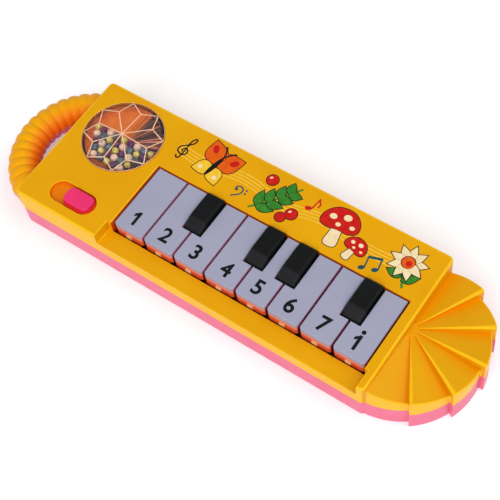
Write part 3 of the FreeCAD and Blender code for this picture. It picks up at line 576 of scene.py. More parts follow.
# %% [markdown]
# ## Fan
# The right end is a half-round fan of six pleats, like folded paper. Each pleat is a wedge of a drum
# whose flat top climbs from its start to its end, where it drops to the next in a sharp riser. The
# rim also swings out a little over each pleat. The plan gives a pleat its angles, the circle of its rim
# and the slopes of its top and its crest.

# %% Plan of the fan
pleat_count = 6
pleat_angle = math.pi / pleat_count
rim_start = 26.1 * mm
rim_end = 27.8 * mm
rim_low = case_top - 5.6 * mm
rim_high = case_top - 1.8 * mm
hub_height = case_top - 3.9 * mm
hub_radius = 2.8 * mm
boss_height = hub_height + 0.3 * mm
pleat_lap = 0.5 * mm
rim_sides = 192
crest_width = 1.5 * mm
crest_drop = 0.9 * mm
crest_lean = 0.14


def from_hub(radius, angle, height=0):
    """Point of the fan by its distance and angle from the hub."""
    return Vector((case_right + radius * math.cos(angle), radius * math.sin(angle), height))


def circle_through(a, b, c):
    """Middle and radius of the level circle through three points."""
    turn = 2 * (a.x * (b.y - c.y) + b.x * (c.y - a.y) + c.x * (a.y - b.y))
    aa, bb, cc = (p.x ** 2 + p.y ** 2 for p in (a, b, c))
    x = (aa * (b.y - c.y) + bb * (c.y - a.y) + cc * (a.y - b.y)) / turn
    y = (aa * (c.x - b.x) + bb * (a.x - c.x) + cc * (b.x - a.x)) / turn
    return x, y, math.hypot(a.x - x, a.y - y)


def pleat_plan(index):
    """Start angle, end angle and rim circle of one pleat."""
    start = math.pi / 2 - index * pleat_angle
    end = start - pleat_angle
    rim_middle = from_hub((rim_start + rim_end) / 2, (start + end) / 2)
    return start, end, circle_through(from_hub(rim_start, start), rim_middle, from_hub(rim_end, end))


def pleat_top(index):
    """Upward direction of a pleat's flat top, which passes through the hub and both ends of its rim."""
    start, end, _ = pleat_plan(index)
    hub = from_hub(0, 0, hub_height)
    to_end = from_hub(rim_end, end, rim_high) - hub
    return to_end.cross(from_hub(rim_start, start, rim_low) - hub).normalized()


def across(angle):
    """Level direction square to a line from the hub, towards growing angles."""
    return Vector((-math.sin(angle), math.cos(angle), 0))


def crest_slope(index):
    """Outward direction of the slanted crest of a riser, which grows wider from the hub to the rim."""
    end = pleat_plan(index)[1]
    hub = from_hub(0, 0, hub_height)
    on_top = from_hub(rim_end, end + crest_width / rim_end, rim_high - crest_lean * crest_width)
    on_riser = from_hub(rim_end, end, rim_high - crest_drop)
    return (on_riser - hub).cross(on_top - hub).normalized()


print("plan of", pleat_count, "pleats, rim", round(rim_end / mm, 2), "mm from the hub")

# %% [markdown]
# ## Pleats
# A wedge is sliced from a drum with planes, and one more plane slants the crest of its riser. The
# wedges are joined, the edges round the rim are rounded, and a low boss covers the middle.

# %% Fan of six pleats


def fan_wedge(index, low, high):
    """Wedge of a drum for one pleat, lapping a little under the pleat before it.

    Its tip is cut off, in turn at two places, so that no two of these cuts coincide.
    """
    start, end, (x, y, radius) = pleat_plan(index)
    wedge = drum("fan", x, y, radius, low, high, rim_sides)
    hub = from_hub(0, 0)
    end_lap = pleat_lap if index == pleat_count - 1 else 0
    slice_off(wedge, hub + across(start) * pleat_lap, across(start))
    slice_off(wedge, hub - across(end) * end_lap, -across(end))
    tip = (2.2 + 0.2 * (index % 2)) * mm
    tip_point = from_hub(tip, (start + end) / 2)
    slice_off(wedge, tip_point, hub - tip_point)
    return wedge


def fan_pleat(index):
    """Wedge whose flat top climbs from its start to its end and breaks over a slanted crest."""
    pleat = fan_wedge(index, below, case_top)
    hub = from_hub(0, 0, hub_height)
    slice_off(pleat, hub, pleat_top(index))
    if index < pleat_count - 1:
        slice_off(pleat, hub, crest_slope(index))
    return pleat


def join_pleats(make):
    """All pleats made by a function, joined in turn."""
    joined = make(0)
    for index in range(1, pleat_count):
        join(joined, make(index))
    return joined


def rim_edge(a, b):
    """Test for the edges round the rim: tops of the outer walls and corners of the risers."""
    if min(a.x, b.x) < case_right + tiny or min(a.z, b.z) < below + tiny and not upright(a, b):
        return False
    for index in range(pleat_count):
        x, y, radius = pleat_plan(index)[2]
        if all(abs(math.hypot(p.x - x, p.y - y) - radius) < tiny for p in (a, b)):
            return True
    return False


fan = join_pleats(fan_pleat)
dress(fan, *shell_slots)
round_edges(fan, rim_edge, 0.4 * mm, 3, shell_highlight_slot)
boss = drum("boss", case_right, 0, hub_radius, below, boss_height, 64)
round_edges(boss, at_height(boss_height), 0.2 * mm, 2)
slice_off(boss, (case_right - 1 * mm, 0, 0), (-1, 0, 0))
join(fan, boss)
print("fan", len(fan.data.polygons), "faces")

# %% [markdown]
# ## Handle
# The handle is a half ring of round tube with fourteen soft ribs, like a coiled hose. A circle is
# spun about the middle of the ring, and then each ring of points is scaled to the rib's profile. The
# same ring is sliced near the parting height into a yellow upper half and a pink lower half.

# %% Handle
handle_x = case_left + 7.5 * mm
handle_radius = 23.3 * mm
tube_radius = 6.2 * mm
groove_radius = 5.55 * mm
rib_count = 14
rib_angle = math.radians(9.32)
rib_roundness = 0.75
rings_per_rib = 6
ring_angle = rib_angle / rings_per_rib
root_rings = 8
ring_count = rib_count * rings_per_rib + 2 * root_rings
first_angle = math.pi - ring_count * ring_angle / 2


def on_handle(angle):
    """Middle of the tube at an angle about the ring's middle."""
    return Vector((
        handle_x + handle_radius * math.cos(angle), handle_radius * math.sin(angle), parting))


bpy.ops.mesh.primitive_circle_add(
    vertices=40, radius=groove_radius, location=on_handle(first_angle),
    rotation=(math.pi / 2, 0, first_angle))
ring = settle(bpy.context.object, "handle")
edit_all(ring)
bpy.ops.mesh.spin(
    steps=ring_count, angle=ring_count * ring_angle, center=(handle_x, 0, parting), axis=(0, 0, -1))
leave()
ring_of_point = {}
for point in ring.data.vertices:
    angle = math.atan2(point.co.y, point.co.x - handle_x) % (2 * math.pi)
    ring_of_point[point.index] = round((angle - first_angle) / ring_angle)
for index in range(rib_count * rings_per_rib):
    swell = abs(math.sin(math.pi * index / rings_per_rib)) ** rib_roundness
    scale = 1 + (tube_radius - groove_radius) / groove_radius * swell
    pick(ring, "VERT", lambda point: ring_of_point[point.index] == root_rings + index)
    middle = on_handle(first_angle + (root_rings + index) * ring_angle)
    bpy.ops.transform.resize(value=(scale, scale, scale), center_override=middle)
    leave()
edit_all(ring)
bpy.ops.mesh.fill_holes(sides=0)
bpy.ops.mesh.normals_make_consistent(inside=False)
leave()
slice_off(ring, (case_left + 1 * mm, 0, 0), (1, 0, 0))
lower_ring = copy_of(ring)
slice_off(ring, (0, 0, below), (0, 0, -1))
slice_off(lower_ring, (0, 0, parting + 1 * mm), (0, 0, 1))
print("handle", ring_count, "rings, halves of", len(ring.data.polygons), "faces")

# %% [markdown]
# ## Joining and trimming the upper shell
# The deck, fan and handle all reach a little below the parting height. They are joined first, and one
# wide block then trims them level, which leaves a single clean rim at the parting.

# %% Join the upper shell
def trim_level(piece, low, high):
    """Cut away all of a shell between two heights."""
    reach = Vector((0.2, 0.2, 0))
    cut(piece, block("trim", Vector((0, 0, low)) - reach, Vector((0, 0, high)) + reach))


join(deck, fan)
join(deck, ring)
trim_level(deck, below - 5 * mm, parting)
print("upper shell", len(deck.data.polygons), "faces while solid")

# %% [markdown]
# ## Openings of the upper shell
# The deck has a step at the front for the key strip, an opening for the keys, a shallow pocket with
# round ends for the switch and a round hole for the window. Each is cut with a plain tool, as a mould
# maker would. The pocket keeps its floor because the hollow under it is cut in two parts round it.
# Edges are rounded last. The rim at the parting gets a chamfer, and so does the lower shell: together
# they show the fine dark line that runs round the toy.

# %% Hollow and openings
plate_under = case_top - wall
strip_under = strip_height - wall
inner_left = case_left + wall
inner_right = case_right - wall
inner_front = case_front + wall
inner_back = case_back - wall
deep = parting - 2 * mm
pocket_x = case_left + 20.6 * mm
pocket_y = case_front + 8.75 * mm
pocket_length = 19.4 * mm
pocket_width = 8.8 * mm
pocket_floor = case_top - 1.6 * mm
pocket_under = pocket_floor - 1.2 * mm
pocket_back = pocket_y + pocket_width / 2 + 1.5 * mm
slot_half = 1.65 * mm
lever_half = 1.2 * mm
window_low, window_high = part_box("dome_window")
window_x = middle_of("dome_window", "x")
window_y = middle_of("dome_window", "y")
window_radius = 15.5 * mm
fan_inside = rim_start - wall
opening_round = 0.3 * mm
seam_chamfer = 0.2 * mm


def round_ended(name, x, y, length, width, low, high):
    """Block with round ends along X."""
    half = Vector((length / 2, width / 2, 0))
    middle = Vector((x, y, 0))
    piece = block(name, middle - half + Vector((0, 0, low)), middle + half + Vector((0, 0, high)))
    round_edges(piece, upright, width / 2 - tiny, 14)
    return piece


def fan_hollow(low, high):
    """Half-round tool for the room inside the fan."""
    room = drum("fan_hollow", case_right, 0, fan_inside, low, high)
    slice_off(room, (case_right + 0.1 * mm, 0, 0), (-1, 0, 0))
    return room


def chamfer_seam(shell):
    """Chamfer the rim of a shell at the parting."""
    split_level_faces(shell, parting)
    round_edges(shell, at_height(parting), seam_chamfer, 1)


deck_cuts = [
    ((strip_left, case_front - 5 * mm, strip_height), (strip_right, opening_front, above)),
    ((inner_left, inner_front, deep), (inner_right, inner_back, strip_under)),
    ((inner_left + tiny, pocket_back, strip_under - tiny),
     (inner_right - tiny, inner_back - tiny, plate_under)),
    ((inner_left + tiny, inner_front + tiny, strip_under - tiny),
     (strip_left - wall, pocket_back + tiny, pocket_under)),
    ((key_left - key_gap / 2, opening_front - 0.05 * mm, deep),
     (key_right + key_gap / 2, panel_edge, above)),
]
for low, high in deck_cuts:
    cut(deck, block("deck_cut", low, high))
cut(deck, fan_hollow(deep, rim_low - 1.8 * mm))
cut(deck, round_ended("pocket", pocket_x, pocket_y, pocket_length, pocket_width, pocket_floor, above))
cut(deck, block(
    "slot", (pocket_x - 2.4 * mm, pocket_y - slot_half, pocket_under - 1 * mm),
    (pocket_x + 6.2 * mm, pocket_y + slot_half, above)))
cut(deck, block(
    "lever_groove", (pocket_x - 4.8 * mm, pocket_y - lever_half, pocket_under - 1 * mm),
    (pocket_x + 5.3 * mm, pocket_y + lever_half, pocket_floor - 0.35 * mm)))
cut(deck, drum("window_hole", window_x, window_y, window_radius + 0.1 * mm, deep, above))
for height in (case_top, strip_height):
    round_edges(deck, at_height(height), opening_round, 2, shell_highlight_slot)
chamfer_seam(deck)
print("openings cut,", len(deck.data.polygons), "faces")

# %% [markdown]
# ## Finishes of the upper shell
# Each face takes its finish from where it lies, and all but the plain yellow are painted light or shade.
# The pleats and the handle also get a slow change of colour that is painted: painted shade on the pleats by
# their angle round the hub, which repeats with each pleat, and painted bounce light on the handle by the
# distance from the middle of its ring.

# %% Finishes of the upper shell
fan_tree = fan_painted_shade.node_tree
# Painted shade at the foot of each riser, repeating with each pleat round the hub.
pleat_turn = reckon(fan_tree, "MULTIPLY", turn_about(fan_painted_shade, case_right, 0), 2 * pleat_count)
pleat_part = reckon(fan_tree, "FRACT", pleat_turn)
lay_over(fan_painted_shade, spread(fan_tree, pleat_part, 0.45, 1.0, 0, 0.6), 240, 138, 0)
# Painted bounce light inside the handle's ring.
lay_over(handle_painted_bounce_light, away_from(handle_painted_bounce_light, handle_x, 0, 22.2 * mm, 17.8 * mm), 244, 112, 20)
crests = [crest_slope(index) for index in range(pleat_count - 1)]


def shell_finish(face):
    """Material of one face of the upper shell."""
    spot = face.center
    # Rounded edges keep their painted highlight.
    if face.material_index == shell_highlight_slot:
        return yellow_painted_highlight
    if spot.x > case_right + tiny:
        # On the fan, the crests and the outer wall take the painted highlight, and the rest takes the painted
        # shade of the pleats.
        on_crest = any(face.normal.dot(slope) > 0.999 for slope in crests)
        on_rim = face.normal.dot(Vector((spot.x - case_right, spot.y, 0)).normalized()) > 0.8
        return yellow_painted_highlight if on_crest or on_rim else fan_painted_shade
    # The handle takes its painted bounce light.
    if spot.x < case_left - tiny:
        return handle_painted_bounce_light
    # The upright walls of the key opening take painted bounce light.
    in_keys = key_left - key_gap < spot.x < key_right + key_gap
    if in_keys and opening_front - 0.1 * mm < spot.y < panel_edge + tiny and abs(face.normal.z) < 0.5:
        return opening_painted_bounce_light
    # The pocket takes painted shade below the deck.
    by_pocket = abs(spot.x - pocket_x) < pocket_length / 2 + tiny
    in_pocket = by_pocket and abs(spot.y - pocket_y) < pocket_width / 2 + tiny
    if in_pocket and spot.z < case_top - 0.2 * mm:
        return pocket_painted_shade
    # The front wall takes the painted highlight, as the side that faces the light.
    if face.normal.y < -0.8 and spot.y < case_front + 1 * mm:
        return yellow_painted_highlight
    return yellow_shell


for face in deck.data.polygons:
    face.material_index = shell_slots.index(shell_finish(face))
finish_piece(deck, "case", None, "yellow_plastic", "top_cover")

# %% [markdown]
# ## Lower shell
# The pink lower shell has the same outline as the upper one, so the same wedges and the other half
# of the handle are joined to a rounded block, trimmed level and hollowed.

# %% Lower shell
over = parting + 1 * mm
base = block("lower_shell", (case_left, case_front, 0), (case_right, case_back, over))
round_edges(base, upright, corner_round, 8)
round_edges(base, at_height(0), rim_round, 4)
pink_fan = join_pleats(lambda index: fan_wedge(index, 0, over))
join(pink_fan, drum("hub", case_right, 0, hub_radius, 0.1 * mm, over, 64))
join(base, pink_fan)
join(base, lower_ring)
trim_level(base, parting, over + 5 * mm)
cut(base, block("inside", (inner_left, inner_front, wall), (inner_right, inner_back, over)))
cut(base, fan_hollow(wall, over))
print("lower shell", len(base.data.polygons), "faces before its underside")

# %% [markdown]
# ## Underside
# In the base are a recess for the battery door with a round ear for its screw, the bay behind it, six
# deep screw holes in posts, and a rosette of holes for the speaker. They are seen when the toy is
# picked up, so they are cut through like the openings above.

# %% Underside
door_low, door_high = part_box("battery_door")
door_gap = 0.2 * mm
door_depth = 1.6 * mm
door_tongue = 0.9 * mm
ear_radius = 3.8 * mm
ear_x = door_high.x - ear_radius
ear_screw_radius = 1.3 * mm
door_left = door_low.x + door_tongue - door_gap
door_right = ear_x - 2.7 * mm + door_gap
door_back = door_high.y + door_gap
bay_lip = 1.1 * mm
screw_places = [(-72.2, 24.75), (14.5, 24.75), (81.4, 19.5)]
post_radius = 2.9 * mm
screw_hole_radius = 2.1 * mm
screw_hole_depth = 3.0 * mm
speaker_x = middle_of("speaker_frame", "x")
hole_pitch = 3.9 * mm
hole_radius = 1.0 * mm
hole_rings = 3
under = -1 * mm
through = wall + 1 * mm

for x, y in screw_places:
    for side in (1, -1):
        place = (x * mm, side * y * mm)
        join(base, drum("post", *place, post_radius, 0.5 * mm, parting - 0.3 * mm, 40))
        cut(base, drum("screw_hole", *place, screw_hole_radius, under, screw_hole_depth, 40))
cut(base, block("door_recess", (door_left, -door_back, under), (door_right, door_back, door_depth)))
cut(base, drum("ear_recess", ear_x, 0, ear_radius + door_gap, under, door_depth - tiny, 48))
cut(base, block(
    "bay", (door_left + bay_lip, bay_lip - door_back, 0.5 * mm),
    (door_right - bay_lip, door_back - bay_lip, through)))
cut(base, drum("ear_screw_hole", ear_x, 0, ear_screw_radius, under, through, 32))
for ring_index in range(hole_rings):
    count = 6 * ring_index or 1
    for hole in range(count):
        turn = 2 * math.pi * hole / count
        x = speaker_x + ring_index * hole_pitch * math.cos(turn)
        y = ring_index * hole_pitch * math.sin(turn)
        cut(base, drum("speaker_hole", x, y, hole_radius, under, through, 20))
merge_near(base, 0.05 * mm)
chamfer_seam(base)
split_level_faces(base, 0)
finish_piece(base, "case", pink_shell, "pink_plastic", "bottom_cover")

# %% [markdown]
# ## Plastics of the keys
# The keys stand in a narrow opening, and its light and shade are painted on them: low on the sides their
# white is written red and then dark, as painted bounce light and painted shade, and on the fronts orange, as
# painted bounce light. Each is laid on between two depths under the top, in millimetres.

# %% Plastics of the keys
key_white = ((166, 167, 188), (160, 161, 184), 0.28, 0.03)
key_cap_white = moulded("key_cap_white", *key_white)
key_front_white = moulded("key_front_white", *key_white)
key_tab_cream = moulded("key_tab_cream", (244, 206, 150), (236, 192, 132), 0.3, 0.03)
key_slots = [key_cap_white, key_front_white, key_tab_cream]
# Painted bounce light and painted shade by depth under the top of the key.
key_painted_light_and_shade = [
    (key_cap_white, 0.4, 1.2, (214, 92, 136)),
    (key_cap_white, 1.2, 2.2, (120, 30, 60)),
    (key_front_white, 1.4, 2.8, (242, 138, 116)),
    (key_front_white, 2.8, 4.2, (238, 84, 36)),
    (key_front_white, 4.4, 5.6, (255, 128, 64)),
]
for plastic, start, end, colour in key_painted_light_and_shade:
    lay_over(plastic, along(plastic, "Z", key_top - start * mm, key_top - end * mm), *colour)
print("key plastics", [plastic.name for plastic in key_slots])

# %% [markdown]
# ## White keys
# A white key is a hollow cap, open below, with its front corners rounded and a soft edge all round
# its top. Where a black key stands beside it, its corner is notched. Under the cap are an apron at the
# front, a leg with a stop lug, a small tab that looks out below the front edge, a plunger for the
# contact pad, and an arm that runs back to the pivot. One function makes a key, and the notches make
# the eight differ.

# %% White keys
blacks_after = (2, 4, 5, 7)
black_front = key_front + 11.8 * mm
black_width = 7.1 * mm
notch_half = black_width / 2 + 0.5 * mm
notch_front = black_front - 0.5 * mm
key_back = panel_edge - 0.45 * mm
key_wall = 1.4 * mm
skirt = key_top - 6.0 * mm
pivot = Vector((0, 18.55 * mm, 15.0 * mm))
pad_low, pad_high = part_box("contact_pad_strip")
apron_half = key_pitch / 2 - 1.7 * mm
apron_front = key_front + 0.1 * mm
inside = key_front + key_wall / 2
under_top = key_top - key_wall / 2
lug_top = strip_under - 0.3 * mm
lug_low = lug_top - 1.4 * mm
plunger_y = key_front + 9.0 * mm
# Apron, arm, leg, lug, tab and plunger of a key: half width, front, back, low and high end
key_blocks = [
    (apron_half, apron_front, apron_front + key_wall, skirt - 1.6 * mm, skirt + 0.6 * mm),
    (2.0 * mm, key_back - key_wall / 2, pivot.y, pivot.z - 1.5 * mm, pivot.z + 1.5 * mm),
    (2.0 * mm, apron_front + tiny, inside + key_wall, lug_low, under_top),
    (1.9 * mm, opening_front - 1.6 * mm, inside, lug_low + tiny, lug_top),
    (1.1 * mm, key_front - 0.4 * mm, inside, strip_height - 0.8 * mm, strip_height + 0.8 * mm),
    (1.2 * mm, plunger_y - 1.2 * mm, plunger_y + 1.2 * mm, pad_high.z + 0.2 * mm, under_top),
]


def notch_block(boundary, grow):
    """Room for the black key between two white keys."""
    x = key_left + boundary * key_pitch
    half = notch_half + grow
    return block("notch", (x - half, notch_front - grow, 0), (x + half, 0.1, above))


def key_finish(face):
    """Material of one face of a key: the tab, the front, or the rest."""
    spot = face.center
    if spot.y < key_front - 0.05 * mm and spot.z > strip_height - 1 * mm:
        return key_tab_cream
    # The front face takes the copy of the white that carries painted bounce light.
    if spot.y < key_front + 0.5 * mm and face.normal.y < -0.6:
        return key_front_white
    return key_cap_white


def white_key(index):
    """One white key in place."""
    x = key_middle(index)
    half = (key_pitch - key_gap) / 2
    name = "key_cap_%d" % (index + 1)
    cap = block(name, (x - half, key_front, skirt), (x + half, key_back, key_top))
    round_edges(cap, lambda a, b: upright(a, b) and a.y < key_front + tiny, 1.2 * mm, 6)
    room = block(
        "room", (x - half + key_wall, key_front + key_wall, skirt - 1 * mm),
        (x + half - key_wall, key_back - key_wall, key_top - key_wall))
    for boundary in (index, index + 1):
        if boundary in blacks_after:
            cut(cap, notch_block(boundary, 0))
            cut(room, notch_block(boundary, key_wall))
    round_edges(cap, at_height(key_top), 0.45 * mm, 3)
    cut(cap, room)
    for half_width, front, back, low, high in key_blocks:
        join(cap, block("under_cap", (x - half_width, front, low), (x + half_width, back, high)))
    on_pivot = (x, pivot.y, pivot.z)
    join(cap, rod("barrel", on_pivot, 2.2 * mm, 8 * mm, lying_x, 40))
    cut(cap, rod("bore", on_pivot, 1.1 * mm, 10 * mm, lying_x, 32))
    dress(cap, *key_slots)
    for face in cap.data.polygons:
        face.material_index = key_slots.index(key_finish(face))
    body = "key_%d" % (index + 1)
    finish_piece(cap, body, None, "white_plastic", "white_%s" % body)


for index in range(key_count):
    white_key(index)

# %% [markdown]
# ## Contact pads
# A sheet of rubber lies on the board under the keys, with a dome for each. A pressed key squashes its
# dome. A dome is a drum whose top is drawn in and given a dimple. It is soft.

# %% Contact pads
pad_rubber = moulded("pad_rubber", (196, 196, 190), (182, 182, 176), 0.7, 0.2, 300)
pad_y = middle_of("contact_pad_strip", "y")
sheet_top = pad_low.z + 0.8 * mm
dome_foot = sheet_top - 0.1 * mm
dome_radius = 2.5 * mm
dome_draw = 0.6
dimple_rim = 0.5 * mm
dimple_depth = 0.3 * mm
sheet = block("pad_sheet", pad_low, (pad_high.x, pad_high.y, sheet_top))
round_edges(sheet, upright, 1.2 * mm, 4)
round_edges(sheet, at_height(sheet_top), 0.2 * mm, 2)
finish_piece(sheet, "case", pad_rubber, "pad_rubber", "contact_pad_strip")
for index in range(key_count):
    x = key_middle(index)
    dome = drum("pad_dome_%d" % (index + 1), x, pad_y, dome_radius, dome_foot, pad_high.z, 32)
    pick_level_faces(dome, pad_high.z)
    bpy.ops.transform.resize(value=(dome_draw, dome_draw, 1), center_override=(x, pad_y, pad_high.z))
    bpy.ops.mesh.inset(thickness=dimple_rim)
    bpy.ops.transform.translate(value=(0, 0, -dimple_depth))
    leave()
    round_edges(dome, at_height(pad_high.z), 0.1 * mm, 2)
    finish_piece(dome, "case", pad_rubber, "pad_rubber")
    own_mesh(dome)

# %% [markdown]
# ## Black keys
# The four black keys are fixed and stand on one bar under the white ones. Each is a block with a
# sloped front facet and softly rounded upper edges. The facet is one plane cut, which keeps it flat.

# %% Black keys
black_key_plastic = moulded("black_key_plastic", (13, 14, 15), (18, 19, 20), 0.26, 0.05, 90, 0.08)
facet_run = 4.3 * mm
facet_back = black_front + facet_run
# Painted highlight: the sloped facet is written a little paler, where it faces the light.
facet_painted_highlight = along(black_key_plastic, "Y", facet_back + 0.1 * mm, facet_back - 0.3 * mm)
lay_over(black_key_plastic, facet_painted_highlight, 32, 32, 34)
bar_low, bar_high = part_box("black_key_bar")
black_top = bar_high.z
black_back = bar_high.y
bar_depth = 7.0 * mm
bar_thick = 2.1 * mm
bar = block(
    "black_keys", (bar_low.x, black_back - bar_depth, bar_low.z),
    (bar_high.x, black_back, bar_low.z + bar_thick))
soften(bar, 0.3 * mm)
for boundary in blacks_after:
    x = key_left + boundary * key_pitch
    black = block(
        "black_key", (x - black_width / 2, black_front, bar_low.z + 0.3 * mm),
        (x + black_width / 2, black_back - 0.1 * mm, black_top))
    slice_off(black, (x, black_front, key_top), (0, key_top - black_top, facet_run))
    round_edges(black, lambda a, b: max(a.z, b.z) > key_top - tiny, 0.75 * mm, 4)
    join(bar, black)
finish_piece(bar, "case", black_key_plastic, "black_plastic", "black_key_bar")

# %% [markdown]
# ## Switch knob
# The power switch is a pink slider: a low foot with round ends that slides in the pocket, a grip on
# it with a row of finger grooves, and a stem that reaches down through the slot to the switch. The
# grooves are cut with thin rods after the grip's outline is rounded, because a bevel that runs from a
# groove into a round corner folds over itself. The lower part is written redder, because it stands in
# the glow of the orange pocket.

# %% Switch knob
knob_pink = moulded("knob_pink", (240, 60, 122), (230, 48, 110), 0.3, 0.05, 120)
knob_low, knob_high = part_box("switch_knob")
knob_x = middle_of("switch_knob", "x")
foot_low = pocket_floor + 0.15 * mm
foot_top = foot_low + 1.2 * mm
foot_length = 12.9 * mm
foot_width = 8.2 * mm
lay_over(knob_pink, along(knob_pink, "Z", foot_top + 1.1 * mm, foot_top + 0.4 * mm), 218, 44, 36)
grip_half = Vector((5.5, 3.2, 0)) * mm
knob_middle = Vector((knob_x, pocket_y, 0))
knob = round_ended("knob", knob_x, pocket_y, foot_length, foot_width, foot_low, foot_top)
round_edges(knob, at_height(foot_top), 0.35 * mm, 3)
grip = block(
    "grip", knob_middle - grip_half + Vector((0, 0, foot_low + 0.3 * mm)),
    knob_middle + grip_half + Vector((0, 0, knob_high.z)))
round_edges(grip, upright, 2.1 * mm, 8)
round_edges(grip, at_height(knob_high.z), 0.3 * mm, 3)
groove_count = 5
groove_pitch = 2 * grip_half.x / (groove_count + 1)
groove_depth = 0.55 * mm
for groove in range(groove_count):
    x = knob_x - grip_half.x + (groove + 1) * groove_pitch
    middle = (x, pocket_y, knob_high.z + tiny)
    cut(grip, rod("groove", middle, groove_depth + tiny, 4 * grip_half.y, lying_y, 24))
join(knob, grip)
stem_x = knob_x + 1.9 * mm
join(knob, block(
    "stem", (stem_x - 1.2 * mm, pocket_y - 1.4 * mm, knob_low.z),
    (stem_x + 1.2 * mm, pocket_y + 1.4 * mm, foot_top - 0.2 * mm)))
finish_piece(knob, "power_switch", knob_pink, "hot_pink_plastic", "switch_knob")

# %% [markdown]
# ## Window
# The window is a clear, cut disc, like a gem with eight rays. A circle of sixteen points is raised to
# a low cone; every second point is pulled in to where two facets part, and the gaps that this leaves at
# the rim are filled with small faces. The ridges between facets are bevelled and painted pale, as a
# painted highlight of the light that they catch. Under the facets are a rim and a flange.

# %% Window
clear_plastic, clear_shader = new_material("window_clear")
clear_tree = clear_plastic.node_tree
clear_place = add_node(clear_tree, "TexCoord", {}).outputs["Object"]
haze = noise(clear_tree, clear_place, 220, 3)
polish = noise(clear_tree, clear_place, 500, 2)
fill(clear_shader, {
    "Base Color": blend_colours(clear_tree, haze, (1, 0.97, 0.93, 1), (0.94, 0.88, 0.82, 1)),
    "Transmission Weight": 1.0, "IOR": 1.3, "Specular IOR Level": 0.3,
    "Roughness": spread(clear_tree, polish, noise_low, noise_high, 0.02, 0.1)})
# Painted highlight: pale ridges, for the light that the edges of the facets catch.
window_ridge_painted_highlight = moulded("window_ridge_painted_highlight", (252, 214, 176), (244, 190, 150), 0.25, 0.05, 300)

ray_count = 8
cut_radius = window_radius - 0.25 * mm
facet_rim = window_high.z - 1.75 * mm
facet_top = window_high.z
part_share = 0.73
part_height = facet_top - (facet_top - facet_rim) * part_share * math.cos(math.pi / ray_count)
bpy.ops.mesh.primitive_circle_add(
    vertices=2 * ray_count, radius=cut_radius, fill_type="TRIFAN", location=(window_x, window_y, facet_rim))
gem = settle(bpy.context.object, "window")


def place_of(point):
    """Distance and number of sixteenths round the window's middle."""
    x, y = point.co.x - window_x, point.co.y - window_y
    return math.hypot(x, y), round(math.atan2(y, x) / math.pi * ray_count) % (2 * ray_count)


def pick_points(test):
    """Select the window's points whose distance and number pass a test, and stay in edit mode."""
    leave()
    pick(gem, "VERT", lambda point: test(*place_of(point)))


pick_points(lambda away, number: away < tiny)
bpy.ops.transform.translate(value=(0, 0, facet_top - facet_rim))
pick_points(lambda away, number: away > tiny and number % 2 == 0)
bpy.ops.transform.resize(value=(part_share, part_share, 1), center_override=(window_x, window_y, facet_rim))
bpy.ops.transform.translate(value=(0, 0, part_height - facet_rim))
for number in range(0, 2 * ray_count, 2):
    corner = (number - 1) % (2 * ray_count), number, number + 1
    pick_points(lambda away, spot: away > tiny and spot in corner)
    bpy.ops.mesh.edge_face_add()
bpy.ops.mesh.normals_make_consistent(inside=False)
leave()
print("window", len(gem.data.polygons), "facets")

# %% [markdown]
# ## Ridges of the window
# The edges between the facets are bevelled to narrow flats, which take a pale painted highlight. The facets
# are then given a thickness by pulling a copy down and pressing it flat.

# %% Ridges of the window
window_slots = [clear_plastic, window_ridge_painted_highlight]
window_highlight_slot = window_slots.index(window_ridge_painted_highlight)
facet_thick = 0.6 * mm
dress(gem, *window_slots)


def on_ridge(edge):
    """True for the edges that meet a parting point."""
    return any(tiny < place_of(gem.data.vertices[end])[0] < 0.9 * cut_radius for end in edge.vertices)


pick(gem, "EDGE", on_ridge)
bpy.ops.mesh.bevel(offset=0.2 * mm, segments=1, affect="EDGES", material=window_highlight_slot)
bpy.ops.mesh.select_all(action="SELECT")
bpy.ops.mesh.extrude_region_move(TRANSFORM_OT_translate={"value": (0, 0, -facet_thick)})
bpy.ops.transform.resize(value=(1, 1, 0), center_override=(window_x, window_y, facet_rim - facet_thick))
bpy.ops.mesh.select_all(action="SELECT")
bpy.ops.mesh.normals_make_consistent(inside=False)
leave()
print("window with ridges", len(gem.data.polygons), "faces")

# %% [markdown]
# ## Rim and flange of the window
# The facets sit on a shallow cup with a flange, which is caught under the deck. Its upright walls are
# painted amber, a painted reflection of the yellow shell round them.

# %% Rim and flange of the window
window_place = (window_x, window_y)
window_under = facet_rim - 1.55 * mm
flange_top = window_low.z + 1.2 * mm
flange_radius = window_radius + 0.6 * mm
room_radius = window_radius - 1 * mm
# Painted reflection: amber for the upright walls, the colour of the yellow shell round them.
rim_painted_reflection = moulded("window_rim_painted_reflection", (226, 138, 58), (204, 112, 40), 0.3, 0.05, 300)
window_slots.append(rim_painted_reflection)
rim_disc = drum("window_rim", *window_place, window_radius, window_low.z, facet_rim)
dress(rim_disc, *window_slots)
round_edges(rim_disc, at_height(facet_rim), 0.15 * mm, 2, window_highlight_slot)
join(rim_disc, drum("flange", *window_place, flange_radius, window_low.z + tiny, flange_top))
cut(rim_disc, drum("window_room", *window_place, room_radius, window_low.z - 1 * mm, window_under))
join(rim_disc, gem)
# Upright faces of the clear plastic take the painted reflection.
for face in rim_disc.data.polygons:
    if abs(face.normal.z) < 0.3 and window_slots[face.material_index] == clear_plastic:
        face.material_index = window_slots.index(rim_painted_reflection)
rim_disc.name = "window"
finish_piece(rim_disc, "case", None, "clear_plastic", "dome_window")

# %% [markdown]
# ## Beads
# Loose beads rattle under the window, gathered at the front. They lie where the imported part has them,
# in rows like oranges in a crate, and go round four kinds: pale yellow and purple ones cut with facets,
# and white and blue ones turned round with a bore. One bead of each kind is modelled, and the others
# are copies of it, each with a turn of its own, that are joined to one piece.

